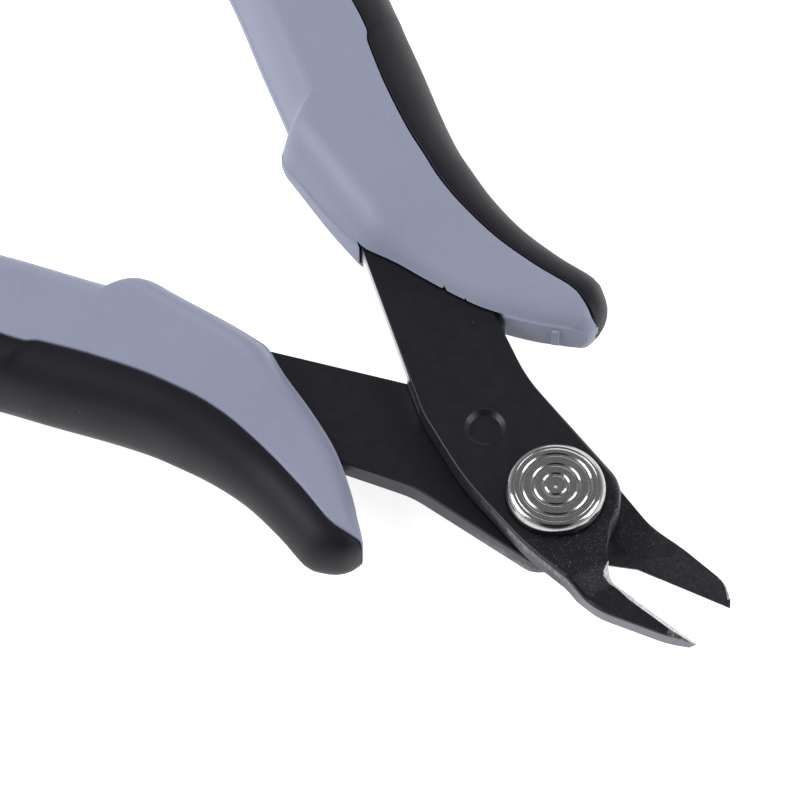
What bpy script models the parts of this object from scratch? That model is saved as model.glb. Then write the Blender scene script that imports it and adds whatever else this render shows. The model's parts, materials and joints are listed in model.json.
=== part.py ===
"""Flush cutter: two lapped, blackened steel blades on a ringed rivet, each with a two-material grip.

Metres, +Z up. The origin is where the rivet's axis meets its flat tail. The jaws point to +X. The cutter is
modelled open, as its return spring holds it. Turning the upper half by CLOSING_ANGLE about +Z shuts the jaws.
"""

import math

import bmesh
import bpy
from mathutils import Matrix, Vector

MM = 0.001

# Clearances
SEAT = 0.3 * MM
CUT_GAP = 0.1 * MM

# The stack on the rivet, from its tail up
COLLAR_T = 1.2 * MM
PLATE_T = 3.0 * MM
HEAD_H = 1.5 * MM
LOWER_Z = COLLAR_T + SEAT
UPPER_Z = LOWER_Z + PLATE_T + SEAT
HEAD_Z = UPPER_Z + PLATE_T + SEAT
MID_Z = LOWER_Z + PLATE_T + SEAT / 2

# Rivet and collar
SHANK_R = 2.5 * MM
HEAD_R = 5.75 * MM
HEAD_RIM = 0.75 * MM
RING_RADII = [0.235 * HEAD_R, 0.452 * HEAD_R, 0.678 * HEAD_R]
RING_WIDTH = 0.6 * MM
RING_DEPTH = 0.25 * MM
PUNCH_R = 0.5 * MM
COLLAR_R = 5.0 * MM
COLLAR_EDGE = 0.35 * MM

# Jaws: both cutting edges lie on lines that pass CUT_OFFSET beside the rivet's axis
CUT_OFFSET = 3.25 * MM
UPPER_CUT_ANGLE = math.radians(3.9)
LOWER_CUT_ANGLE = math.radians(18.2)
CLOSING_ANGLE = LOWER_CUT_ANGLE - UPPER_CUT_ANGLE
JAW_REACH = 23.1 * MM
THROAT_REACH = 9.7 * MM
THROAT_R = 4.5 * MM
LOWER_THROAT_BACK = 2.6 * MM
# Each bevel's width, and the distance over which it fades out at the boss
UPPER_BEVEL = (1.4 * MM, 4.5 * MM)
LOWER_BEVEL = (2.0 * MM, 2.3 * MM)
BEVEL_LAND = 0.15 * MM
TIP_WIDTH = 0.8 * MM
TIP_SLANT = 0.35 * MM
# Each jaw's flush side is ground off by JAW_FLUSH. On the lower blade the grinding runs out over FLUSH_RUNOUT.
JAW_FLUSH = 0.85 * MM
FLUSH_LEAD = 4.0 * MM
FLUSH_RUNOUT = 1.2 * MM
# The facet under the lower blade's edge, from the throat on: where it starts and is at full height, its width, and
# how far it falls over that width
UNDERCUT_START = THROAT_REACH - 2.8 * MM
UNDERCUT_FULL = THROAT_REACH + 2.0 * MM
UNDERCUT_W = 2.4 * MM
UNDERCUT_FALL = 2.6 * MM
# The relief that falls from the top to each tip: its length and its slope
UPPER_RELIEF = (2.5 * MM, 0.42)
LOWER_RELIEF = (8.2 * MM, 0.19)

# The joggle that brings each jaw from its lapped plate to the middle of the stack, starting just past the throat
JOGGLE_LEAD = 0.1 * MM
JOGGLE_START = THROAT_REACH + JOGGLE_LEAD
JOGGLE_LENGTH = 3.4 * MM
JOGGLE_DROP = (PLATE_T + SEAT) / 2
JOGGLE_TURN = math.radians(20)
JOGGLE_STEPS = 6

# Blade outlines as corners (x, y, radius of the corner) with the blade's handle on the +Y side
TANG_CORNERS = [
    (-24.0 * MM, 13.6 * MM, 20 * MM),
    (-36.0 * MM, 17.4 * MM, 25 * MM),
    (-58.0 * MM, 25.0 * MM, 30 * MM),
    (-80.0 * MM, 31.8 * MM, 1.8 * MM),
    (-80.0 * MM, 27.0 * MM, 1.8 * MM),
    (-58.0 * MM, 18.8 * MM, 25 * MM),
    (-38.0 * MM, 8.0 * MM, 60 * MM),
    (-18.0 * MM, -2.9 * MM, 12 * MM),
]
BOSS_FRONT = [
    (THROAT_REACH - 2.1 * MM, 0.7 * MM, 8 * MM),
    (THROAT_REACH - 3.0 * MM, 3.4 * MM, 4 * MM),
]
UPPER_BOSS_BACK = [
    (4.3 * MM, 6.35 * MM, 4 * MM),
    (-12.5 * MM, 8.65 * MM, 20 * MM),
]
LOWER_BOSS_BACK = [
    (3.2 * MM, 7.1 * MM, 3 * MM),
    (-13.4 * MM, 9.2 * MM, 12 * MM),
]
BELLY = [(-9.0 * MM, -5.8 * MM, 30 * MM)]
UPPER_JAW_BACK = [
    (2.0 * MM, -7.3 * MM, 25 * MM),
    (13.1 * MM, -6.95 * MM, 8 * MM),
    (20.9 * MM, -3.95 * MM, 30 * MM),
]
LOWER_JAW_BACK = [
    (2.5 * MM, -7.0 * MM, 12 * MM),
    (8.6 * MM, -5.85 * MM, 25 * MM),
    (13.0 * MM, -5.2 * MM, 25 * MM),
    (20.6 * MM, -5.9 * MM, 4 * MM),
]
EDGE_BREAK = 0.25 * MM
ARC_STEP = math.radians(12)

# Half-pierced stop button on the upper blade
BUTTON_X = -11.5 * MM
BUTTON_Y = 0.6 * MM
BUTTON_R = 1.8 * MM
BUTTON_REACH = 1.0 * MM
DIMPLE_R = 2.3 * MM
DIMPLE_DEPTH = 0.9 * MM

# Return spring, in a pocket coined into the lower blade. Its free leg meets the button's side at LEG_LEAN, and
# OPEN_FROM and OPEN_TO bound the stretch of the loop that the leg's sweep joins.
WIRE_R = 0.4 * MM
LEG_LEAN = math.radians(64)
LOOP_R = 3.5 * MM
OPEN_FROM = math.radians(268)
OPEN_TO = math.radians(180)
POCKET_DEPTH = 1.5 * MM
ANCHOR_X = -7.0 * MM
ANCHOR_Y = 2.6 * MM
ANCHOR_DEPTH = 0.9 * MM

# Grips: rails in plan for a grip on the +Y side.
# Rows: inner x, inner y, outer x, outer y, half thickness, and the core's share of the width
GRIP_RAILS = [
    (-112.5 * MM, 33.4 * MM, -113.5 * MM, 43.5 * MM, 5.2 * MM, 0.556),
    (-104.0 * MM, 31.8 * MM, -105.0 * MM, 44.2 * MM, 5.7 * MM, 0.56),
    (-90.0 * MM, 28.4 * MM, -92.0 * MM, 43.5 * MM, 6.1 * MM, 0.586),
    (-75.0 * MM, 23.2 * MM, -79.0 * MM, 41.5 * MM, 6.3 * MM, 0.633),
    (-64.0 * MM, 18.0 * MM, -68.0 * MM, 38.6 * MM, 6.4 * MM, 0.677),
    (-57.5 * MM, 15.2 * MM, -60.8 * MM, 35.9 * MM, 6.4 * MM, 0.693),
    (-54.8 * MM, 14.2 * MM, -58.2 * MM, 34.75 * MM, 6.4 * MM, 0.698),
    (-53.7 * MM, 13.4 * MM, -57.2 * MM, 34.3 * MM, 6.4 * MM, 0.701),
    (-53.4 * MM, 12.3 * MM, -56.7 * MM, 34.1 * MM, 6.4 * MM, 0.702),
    (-52.9 * MM, 11.3 * MM, -56.1 * MM, 33.8 * MM, 6.4 * MM, 0.701),
    (-51.6 * MM, 10.5 * MM, -54.8 * MM, 33.15 * MM, 6.4 * MM, 0.701),
    (-49.0 * MM, 9.6 * MM, -50.2 * MM, 31.0 * MM, 6.4 * MM, 0.681),
    (-44.0 * MM, 8.45 * MM, -44.0 * MM, 27.9 * MM, 6.4 * MM, 0.676),
    (-40.0 * MM, 7.95 * MM, -39.5 * MM, 25.9 * MM, 6.3 * MM, 0.683),
    (-37.6 * MM, 7.9 * MM, -36.2 * MM, 24.9 * MM, 6.0 * MM, 0.673),
    (-33.8 * MM, 9.1 * MM, -31.8 * MM, 23.8 * MM, 5.5 * MM, 0.655),
    (-28.0 * MM, 10.5 * MM, -26.5 * MM, 23.2 * MM, 4.7 * MM, 0.64),
    (-22.5 * MM, 12.3 * MM, -20.8 * MM, 23.5 * MM, 4.4 * MM, 0.61),
    (-17.3 * MM, 15.1 * MM, -16.2 * MM, 24.15 * MM, 4.3 * MM, 0.533),
    (-15.0 * MM, 16.7 * MM, -14.4 * MM, 23.6 * MM, 4.1 * MM, 0.455),
    (-13.2 * MM, 17.9 * MM, -12.9 * MM, 22.6 * MM, 3.6 * MM, 0.319),
    (-12.2 * MM, 18.6 * MM, -12.1 * MM, 21.5 * MM, 2.9 * MM, 0.166),
    (-11.7 * MM, 19.2 * MM, -11.7 * MM, 20.4 * MM, 1.7 * MM, 0.08),
]
BUMP_ROW = 10
MOUTH_ROW = 14
# The upper grip's inner side is fuller towards its nose
UPPER_NOSE = 1.3 * MM
NOSE_ROWS = 5
GRIP_SHIFT = 1.35 * MM
FRONT_BAND = 2.0 * MM
BACK_BAND = 0.8 * MM
BAND_SHARE = 0.55
SHOULDER_W = 5.0 * MM
SHOULDER_SHARE = 0.8
SHOULDER_POINTS = 4
SLEEVE_POINTS = 6
SLEEVE_DROP = 0.15 * MM
SLEEVE_BELLY = 0.16
SLEEVE_LEAST = 0.3 * MM
TONGUE = 1.5 * MM
TONGUE_REACH = 5.0 * MM
TONGUE_HALF = 0.35
REAR_ROUND = 6.5 * MM
REAR_LEAST = 0.35
REAR_STATIONS = [0.0, 0.08, 0.2, 0.36, 0.6]
LIP_T = 0.7 * MM
LIP_W = 2.3 * MM
LIP_ROWS = [12.3, 13.0, 13.6, 14.3]
# The tang slot's open end, as two corners nearer to the rivet than the mouth
MOUTH_CORNERS = [(-8.0 * MM, 9.0 * MM, 0.0), (-8.0 * MM, -4.0 * MM, 0.0)]
STATION_STEP = 3.6 * MM

ROUND_SIDES = 40
CUT_OVER = 2.0 * MM


def material(name, colour, roughness, metallic):
    made = bpy.data.materials.new(name)
    made.use_nodes = True
    shader = made.node_tree.nodes["Principled BSDF"]
    shader.inputs["Base Color"].default_value = (*colour, 1.0)
    shader.inputs["Roughness"].default_value = roughness
    shader.inputs["Metallic"].default_value = metallic
    return made


def to_object(name, mesh_data, finish=None, parent=None):
    """Puts a bmesh into the scene as one named object with its faces pointing out."""
    bmesh.ops.recalc_face_normals(mesh_data, faces=mesh_data.faces)
    mesh = bpy.data.meshes.new(name)
    mesh_data.to_mesh(mesh)
    mesh_data.free()
    made = bpy.data.objects.new(name, mesh)
    bpy.context.scene.collection.objects.link(made)
    if finish:
        mesh.materials.append(finish)
        mesh.shade_smooth()
        mesh.set_sharp_from_angle(angle=math.radians(32))
    made.parent = parent
    return made


def cutter(name, mesh_data):
    made = to_object(name, mesh_data)
    made.hide_render = True
    made.display_type = "WIRE"
    return made


def boolean(target, tool, operation="DIFFERENCE", overlapping=False):
    modifier = target.modifiers.new(tool.name, "BOOLEAN")
    modifier.operation = operation
    modifier.solver = "EXACT"
    modifier.use_self = overlapping
    modifier.object = tool


def arc(centre, radius, start, end, count):
    """Points on an arc, both ends included."""
    angles = [start + (end - start) * i / count for i in range(count + 1)]
    return [Vector((centre[0] + radius * math.cos(a), centre[1] + radius * math.sin(a))) for a in angles]


def rounded(corners):
    """A closed outline through corners (x, y, radius), each turned by an arc of its own radius."""
    points = []
    for index, (x, y, radius) in enumerate(corners):
        here = Vector((x, y))
        back = Vector(corners[index - 1][:2]) - here
        ahead = Vector(corners[(index + 1) % len(corners)][:2]) - here
        turn = math.pi - back.angle(ahead)
        if radius <= 0 or turn < 1e-4:
            points.append(here)
            continue
        room = 0.48 * min(back.length, ahead.length)
        tangent = min(radius * math.tan(turn / 2), room)
        radius = tangent / math.tan(turn / 2)
        centre = here + (back.normalized() + ahead.normalized()).normalized() * (radius / math.cos(turn / 2))
        first = here + back.normalized() * tangent - centre
        last = here + ahead.normalized() * tangent - centre
        sweep = first.angle_signed(last)
        count = max(1, math.ceil(abs(sweep) / ARC_STEP))
        for step in range(count + 1):
            spoke = first.copy()
            spoke.rotate(Matrix.Rotation(-sweep * step / count, 2))
            points.append(centre + spoke)
    return points


def offset(points, distance):
    """The closed outline moved outwards by a distance, along the bisector of each corner."""
    area = sum(a.x * b.y - b.x * a.y for a, b in zip(points, points[1:] + points[:1]))
    side = 1 if area > 0 else -1
    moved = []
    for index, here in enumerate(points):
        before = (here - points[index - 1]).normalized()
        after = (points[(index + 1) % len(points)] - here).normalized()
        normal = Vector((before.y + after.y, -before.x - after.x)).normalized() * side
        lean = max(0.5, normal.dot(Vector((before.y, -before.x)) * side))
        moved.append(here + normal * distance / lean)
    return moved


def prism(outline, bottom, top, mesh_data=None):
    """A plain extrusion of a closed outline, added to mesh_data where it is given."""
    made = mesh_data or bmesh.new()
    base = made.faces.new([made.verts.new((p.x, p.y, bottom)) for p in outline])
    pushed = bmesh.ops.extrude_face_region(made, geom=[base])
    verts = [item for item in pushed["geom"] if isinstance(item, bmesh.types.BMVert)]
    bmesh.ops.translate(made, verts=verts, vec=(0, 0, top - bottom))
    return made


def turned(profile, sides=ROUND_SIDES, centre=(0.0, 0.0), mesh_data=None):
    """A solid of revolution about Z. A profile point at radius 0 becomes one vertex on the axis."""
    made = mesh_data or bmesh.new()
    rings = []
    for radius, height in profile:
        count = sides if radius > 0 else 1
        spots = [(centre[0] + radius * math.cos(2 * math.pi * i / count),
                  centre[1] + radius * math.sin(2 * math.pi * i / count), height) for i in range(count)]
        rings.append([made.verts.new(spot) for spot in spots])
    closed = profile[0][0] > 0 and profile[-1][0] > 0
    pairs = list(zip(rings, rings[1:])) + ([(rings[-1], rings[0])] if closed else [])
    for one, two in pairs:
        for i in range(sides):
            corners = [one[i % len(one)], one[(i + 1) % len(one)], two[(i + 1) % len(two)], two[i % len(two)]]
            made.faces.new(list(dict.fromkeys(corners)))
    return made


def loft(sections):
    """Skins closed sections, all with the same number of points, and caps both ends."""
    made = bmesh.new()
    rings = [[made.verts.new(point) for point in section] for section in sections]
    for one, two in zip(rings, rings[1:]):
        for i in range(len(one)):
            j = (i + 1) % len(one)
            made.faces.new((one[i], one[j], two[j], two[i]))
    made.faces.new(rings[0])
    made.faces.new(rings[-1])
    return made


def on_cut_line(angle, along, beside=0.0):
    """A point near a cutting edge: distance along it from beside the rivet, and distance to its left."""
    direction = Vector((math.cos(angle), math.sin(angle)))
    left = Vector((-direction.y, direction.x))
    return direction * along + left * (beside - CUT_OFFSET)


def cut_line(upper):
    """A cutting edge's angle and its distance beside the meeting line, in the upper blade's layout."""
    if upper:
        return UPPER_CUT_ANGLE, -CUT_GAP
    return -LOWER_CUT_ANGLE, 2 * CUT_OFFSET - CUT_GAP


def throat_reach(upper):
    return THROAT_REACH if upper else THROAT_REACH - LOWER_THROAT_BACK


def boss_front(upper):
    """The corners from the throat to the boss, of which the first shapes only the upper blade's throat."""
    return BOSS_FRONT if upper else BOSS_FRONT[1:]


def blade_outline(upper):
    """The blade's outline with its handle on +Y and its jaw on -Y, as the upper blade lies."""
    angle, beside = cut_line(upper)
    back = UPPER_JAW_BACK if upper else LOWER_JAW_BACK
    boss_back = UPPER_BOSS_BACK if upper else LOWER_BOSS_BACK
    tip = on_cut_line(angle, JAW_REACH, beside)
    tip_back = on_cut_line(angle, JAW_REACH - TIP_SLANT, beside - TIP_WIDTH)
    throat = on_cut_line(angle, throat_reach(upper), beside)
    corners = boss_back + TANG_CORNERS + BELLY + back
    corners = corners + [(*tip_back, 0.0), (*tip, 0.0), (*throat, THROAT_R)] + boss_front(upper)
    return rounded(corners)


def joggle_height(point):
    """How far the jaw has come to the middle of the stack at a point, from 0 to JOGGLE_DROP."""
    along = point.x * math.cos(JOGGLE_TURN) - point.y * math.sin(JOGGLE_TURN)
    share = min(1.0, max(0.0, (along - JOGGLE_START) / JOGGLE_LENGTH))
    step = math.floor(share * JOGGLE_STEPS)
    eased = [(i / JOGGLE_STEPS) ** 2 * (3 - 2 * i / JOGGLE_STEPS) for i in range(JOGGLE_STEPS + 2)]
    between = share * JOGGLE_STEPS - step
    rise = min(1.0, eased[step] + (eased[step + 1] - eased[step]) * between)
    return rise * JOGGLE_DROP


def blade_blank(upper):
    """A blanked plate with broken edges, its jaw joggled down, in the upper blade's layout."""
    made = prism(blade_outline(upper), 0.0, PLATE_T)
    bmesh.ops.recalc_face_normals(made, faces=made.faces)
    angle, beside = cut_line(upper)
    left = Vector((-math.sin(angle), math.cos(angle)))
    line = on_cut_line(angle, 0.0, beside).dot(left)

    def inner_side(vert):
        return vert.co.x > BOSS_FRONT[1][0] and vert.co.xy.dot(left) > line - CUT_GAP / 2

    rim = [edge for edge in made.edges if abs(edge.verts[0].co.z - edge.verts[1].co.z) < 1e-7
           and not (inner_side(edge.verts[0]) and inner_side(edge.verts[1]))]
    bmesh.ops.bevel(made, geom=rim, offset=EDGE_BREAK, offset_type="OFFSET", segments=1, affect="EDGES",
                    clamp_overlap=True)
    across = Vector((math.cos(JOGGLE_TURN), -math.sin(JOGGLE_TURN), 0))
    for step in range(JOGGLE_STEPS + 1):
        place = across * (JOGGLE_START + JOGGLE_LENGTH * step / JOGGLE_STEPS)
        everything = made.verts[:] + made.edges[:] + made.faces[:]
        bmesh.ops.bisect_plane(made, geom=everything, plane_co=place, plane_no=across, dist=1e-6)
    for vert in made.verts:
        vert.co.z -= joggle_height(vert.co)
    return made


def flush_level(upper):
    """The height of a jaw's flush side over the blank's underside."""
    return JAW_FLUSH + JOGGLE_DROP * (-1 if upper else 1)


def jaw_floor(point, upper):
    """The jaw's underside by its cutting edge, over the blank's own underside."""
    if upper:
        return max(-joggle_height(point), flush_level(True))
    along = point.x * math.cos(LOWER_CUT_ANGLE) - point.y * math.sin(LOWER_CUT_ANGLE)
    share = min(1.0, max(0.0, (along - UNDERCUT_START) / (UNDERCUT_FULL - UNDERCUT_START)))
    return flush_level(False) * share


def jaw_ceiling(point, upper):
    return PLATE_T + joggle_height(point) * (-1 if upper else 1)


def bevel_cutter(upper):
    """The ground bevel: from beyond the tip along the cutting edge, round the throat and out at the boss."""
    angle, beside = cut_line(upper)
    start = on_cut_line(angle, JAW_REACH + CUT_OVER, beside)
    level_end = on_cut_line(angle, JOGGLE_START + JOGGLE_LENGTH + FLUSH_RUNOUT + BEVEL_LAND / 2, beside)
    throat = on_cut_line(angle, throat_reach(upper), beside)
    boss = boss_front(upper)
    corners = rounded([(*start, 0.0), (*throat, THROAT_R)] + boss[:-1] + [(*boss[-1][:2], 0.0)])
    straight = [corners[0], level_end]
    if not upper:
        straight += [on_cut_line(angle, along, beside) for along in (UNDERCUT_FULL, JOGGLE_START - EDGE_BREAK)]
    path = straight + [(a + b) / 2 for a, b in zip(corners[1:], corners[2:])] + [corners[-1]]
    full, fading = UPPER_BEVEL if upper else LOWER_BEVEL
    sections = []
    for index, point in enumerate(path):
        heading = (path[min(index + 1, len(path) - 1)] - path[max(index - 1, 0)]).normalized()
        out = Vector((heading.y, -heading.x))
        fade = min(1.0, max(0.0, (point.x - boss[0][0]) / fading))
        width = full * fade if index < len(path) - 1 else -EDGE_BREAK
        low = jaw_floor(point, upper) + BEVEL_LAND
        high = jaw_ceiling(point, upper)
        over = CUT_OVER / 2
        lean = width / (high - low)
        foot = point + out * lean * over
        back = point - out * lean * (high + over - low)
        front = point + out * over
        sections.append([(foot.x, foot.y, low - over), (back.x, back.y, high + over),
                         (front.x, front.y, high + over), (front.x, front.y, low - over)])
    return mirrored_plan(loft(sections), upper)


def side_profile_cutter(profile, upper, width=4 * CUT_OVER, fall=0.0):
    """A cutter with one section across the jaw, as points (distance along the cutting edge, height).

    It reaches width into the jaw from the cutting edge, and lies lower there by fall.
    """
    angle, beside = cut_line(upper)
    sections = []
    for edge, drop in ((beside - width, fall), (beside + CUT_GAP / 2, 0.0), (beside + CUT_OVER, 0.0)):
        spots = [on_cut_line(angle, along, edge) for along, _ in profile]
        sections.append([(spot.x, spot.y, height - drop) for spot, (_, height) in zip(spots, profile)])
    return mirrored_plan(loft(sections), upper)


def tip_relief_cutter(upper):
    length, slope = UPPER_RELIEF if upper else LOWER_RELIEF
    top = PLATE_T + JOGGLE_DROP * (-1 if upper else 1)
    ends = (JAW_REACH - length - CUT_OVER, JAW_REACH + CUT_OVER)
    profile = [(along, top + slope * (JAW_REACH - length - along)) for along in ends]
    return side_profile_cutter(profile + [(ends[1], top + 2 * CUT_OVER), (ends[0], top + 2 * CUT_OVER)], upper)


def flush_cutter(upper):
    """What is ground off under the jaw, so that both jaws are flush at one height."""
    level = flush_level(upper)
    end = JAW_REACH + CUT_OVER
    profile = [(end, level), (end, level - CUT_OVER)]
    if upper:
        start = JOGGLE_START - FLUSH_LEAD
        profile += [(start, level - CUT_OVER), (start, level)]
    else:
        runout = JOGGLE_START + JOGGLE_LENGTH
        profile += [(runout, level - FLUSH_RUNOUT), (runout + FLUSH_RUNOUT, level)]
    return side_profile_cutter(profile, upper)


def undercut_cutter():
    """What is ground off under the lower blade's edge where it rises to the flush height."""
    level = flush_level(False)
    end = JOGGLE_START + JOGGLE_LENGTH + FLUSH_RUNOUT
    profile = [(UNDERCUT_START, 0.0), (UNDERCUT_FULL, level), (end, level)]
    profile += [(end, -2 * CUT_OVER), (UNDERCUT_START, -2 * CUT_OVER)]
    return side_profile_cutter(profile, False, UNDERCUT_W, UNDERCUT_FALL)


def mirrored_plan(mesh_data, upper):
    """Keeps the upper blade's layout for the upper blade and mirrors it in Y for the lower one."""
    for vert in mesh_data.verts:
        vert.co.y *= 1 if upper else -1
    return mesh_data


def flip_to_lower(mesh_data):
    """Turns the upper blade's layout into the lower one's: mirrored in Y and in height."""
    for vert in mesh_data.verts:
        vert.co.y = -vert.co.y
        vert.co.z = PLATE_T - vert.co.z
    return mesh_data


def lift(mesh_data, height):
    bmesh.ops.translate(mesh_data, verts=mesh_data.verts, vec=(0, 0, height))
    return mesh_data


def grind_and_bore(blade, upper, height):
    """The cuts that both blades share: bevel, tip relief, flush side and the rivet's bore."""
    name = "upper" if upper else "lower"
    boolean(blade, cutter(name + "_flush", lift(flush_cutter(upper), height)))
    if not upper:
        boolean(blade, cutter("lower_undercut", lift(undercut_cutter(), height)))
    boolean(blade, cutter(name + "_bevel", lift(bevel_cutter(upper), height)))
    boolean(blade, cutter(name + "_relief", lift(tip_relief_cutter(upper), height)))
    bore = turned([(0, -CUT_OVER), (SHANK_R + SEAT, -CUT_OVER), (SHANK_R + SEAT, PLATE_T + CUT_OVER),
                   (0, PLATE_T + CUT_OVER)])
    boolean(blade, cutter(name + "_bore", lift(bore, height)))


def upper_blade(finish, parent):
    blade = to_object("upper_blade", lift(blade_blank(True), UPPER_Z), finish, parent)
    grind_and_bore(blade, True, UPPER_Z)
    spot = (BUTTON_X, BUTTON_Y)
    button = turned([(0, -SEAT - BUTTON_REACH), (BUTTON_R, -SEAT - BUTTON_REACH), (BUTTON_R, PLATE_T / 3),
                     (0, PLATE_T / 3)], 24, spot)
    boolean(blade, cutter("stop_button", lift(button, UPPER_Z)), "UNION")
    lean = (DIMPLE_R - BUTTON_R) * CUT_OVER / DIMPLE_DEPTH
    dimple = turned([(0, PLATE_T - DIMPLE_DEPTH), (BUTTON_R, PLATE_T - DIMPLE_DEPTH),
                     (DIMPLE_R + lean, PLATE_T + CUT_OVER), (0, PLATE_T + CUT_OVER)], 32, spot)
    boolean(blade, cutter("stop_dimple", lift(dimple, UPPER_Z)))
    return blade


def leg_tip():
    """Where the spring's free leg ends: beside the button, on the side that the closing button moves to."""
    reach = BUTTON_R + SEAT + WIRE_R
    return Vector((BUTTON_X + reach * math.cos(LEG_LEAN), BUTTON_Y - reach * math.sin(LEG_LEAN)))


def pocket_cutter():
    """The coined pocket: round the loop, along both legs, and a slot that the stop button runs in."""
    floor = PLATE_T - POCKET_DEPTH
    top = PLATE_T + CUT_OVER
    room = WIRE_R + SEAT
    made = turned([(0, floor), (LOOP_R + room, floor), (LOOP_R + room, top), (0, top)], 32)
    track = math.hypot(BUTTON_X, BUTTON_Y)
    start = math.atan2(BUTTON_Y, BUTTON_X)
    half = BUTTON_R + SEAT
    angles = [start + (CLOSING_ANGLE + SEAT / track) * i / 6 for i in range(7)]
    slot = arc((0, 0), track + half, angles[0], angles[-1], 6)
    slot += arc((track * math.cos(angles[-1]), track * math.sin(angles[-1])), half, angles[-1],
                angles[-1] + math.pi, 8)[1:-1]
    slot += arc((0, 0), track - half, angles[-1], angles[0], 6)
    slot += arc((BUTTON_X, BUTTON_Y), half, start + math.pi, start + 2 * math.pi, 8)[1:-1]
    prism(slot, floor, top, made)
    tip = leg_tip()
    reach = tip.length + room
    first = math.atan2(tip.y, tip.x) - room / tip.length
    last = math.atan2(tip.y, tip.x) + CLOSING_ANGLE + 2 * math.pi + room / tip.length
    sweep = arc((0, 0), reach, first + 2 * math.pi, last, 5)
    sweep += arc((0, 0), LOOP_R + room / 2, OPEN_FROM, OPEN_TO, 5)
    prism(sweep, floor, top, made)
    anchor = Vector((ANCHOR_X, ANCHOR_Y))
    heading = math.atan2(anchor.y, anchor.x)
    leave = heading - math.acos(LOOP_R / anchor.length)
    root = Vector((LOOP_R * math.cos(leave), LOOP_R * math.sin(leave)))
    along = math.atan2(anchor.y - root.y, anchor.x - root.x)
    channel = arc(anchor, room, along - math.pi / 2, along + math.pi / 2, 6)
    channel += arc(root, room, along + math.pi / 2, along + 3 * math.pi / 2, 6)
    prism(channel, floor, top, made)
    turned([(0, floor - ANCHOR_DEPTH), (room, floor - ANCHOR_DEPTH), (room, top), (0, top)], 12, anchor, made)
    return made


def lower_blade(finish, parent):
    blade = to_object("lower_blade", lift(flip_to_lower(blade_blank(False)), LOWER_Z), finish, parent)
    grind_and_bore(blade, False, LOWER_Z)
    boolean(blade, cutter("spring_pocket", lift(pocket_cutter(), LOWER_Z)), overlapping=True)
    return blade


def pivot_rivet(finish):
    top = HEAD_Z + HEAD_H
    profile = [(0, top - RING_DEPTH), (PUNCH_R, top)]
    for radius in RING_RADII:
        profile += [(radius - RING_WIDTH / 2, top), (radius, top - RING_DEPTH), (radius + RING_WIDTH / 2, top)]
    for step in range(5):
        angle = math.pi / 2 * (1 - step / 4)
        inset = HEAD_RIM * (1 - math.cos(angle))
        drop = HEAD_RIM * (1 - math.sin(angle))
        profile.append((HEAD_R - inset, top - drop))
    profile += [(HEAD_R, HEAD_Z + EDGE_BREAK), (HEAD_R - EDGE_BREAK, HEAD_Z), (SHANK_R, HEAD_Z)]
    profile += [(SHANK_R, EDGE_BREAK), (SHANK_R - EDGE_BREAK, 0), (0, 0)]
    return to_object("pivot_rivet", turned(profile), finish)


def rivet_collar(finish):
    inner = SHANK_R + SEAT
    profile = [(inner, 0), (COLLAR_R - COLLAR_EDGE, 0), (COLLAR_R, COLLAR_EDGE), (COLLAR_R, COLLAR_T),
               (inner, COLLAR_T)]
    return to_object("rivet_collar", turned(profile), finish)


def return_spring(finish):
    """One hairpin of round wire: free leg, loop round the rivet, anchored leg with its end turned down."""
    height = LOWER_Z + PLATE_T - POCKET_DEPTH + SEAT + WIRE_R
    tip = leg_tip()
    anchor = Vector((ANCHOR_X, ANCHOR_Y))
    begin = math.atan2(anchor.y, anchor.x) - math.acos(LOOP_R / anchor.length)
    end = math.atan2(tip.y, tip.x) + math.acos(LOOP_R / tip.length)
    path = arc((0, 0), LOOP_R, begin, end, 16)
    down = ANCHOR_DEPTH
    bend = 2 * WIRE_R
    run = (path[0] - anchor).normalized()
    points = [(anchor.x, anchor.y, height - bend - down / 2)]
    for step in range(4):
        turn = math.pi / 2 * step / 3
        spot = anchor + run * bend * (1 - math.cos(turn))
        points.append((spot.x, spot.y, height - bend * (1 - math.sin(turn))))
    points += [(p.x, p.y, height) for p in path] + [(tip.x, tip.y, height)]
    curve = bpy.data.curves.new("return_spring", "CURVE")
    curve.dimensions = "3D"
    curve.bevel_depth = WIRE_R
    curve.bevel_resolution = 2
    curve.use_fill_caps = True
    spline = curve.splines.new("POLY")
    spline.points.add(len(points) - 1)
    for point, place in zip(spline.points, points):
        point.co = (*place, 1)
    curve.materials.append(finish)
    made = bpy.data.objects.new("return_spring", curve)
    bpy.context.scene.collection.objects.link(made)
    return made


def smooth_rail(values, t):
    """A Catmull-Rom value between the rows of a rail, t counting rows."""
    last = len(values) - 1
    i = min(last - 1, max(0, int(t)))
    a, b, c, d = values[max(0, i - 1)], values[i], values[i + 1], values[min(last, i + 2)]
    u = t - i
    cubic = 3 * b - a - 3 * c + d
    return 0.5 * (2 * b + (c - a) * u + (2 * a - 5 * b + 4 * c - d) * u ** 2 + cubic * u ** 3)


def stations():
    """Row positions along the grip, about STATION_STEP apart and closer at the bump, the nose and the rear."""
    columns = list(zip(*GRIP_RAILS))
    spots = list(REAR_STATIONS)
    for row in range(1, len(GRIP_RAILS) - 1):
        gap = math.hypot(columns[2][row + 1] - columns[2][row], columns[3][row + 1] - columns[3][row])
        count = max(1, round(gap / STATION_STEP))
        spots += [row + i / count for i in range(count)]
    return spots + [len(GRIP_RAILS) - 1.0]


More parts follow.
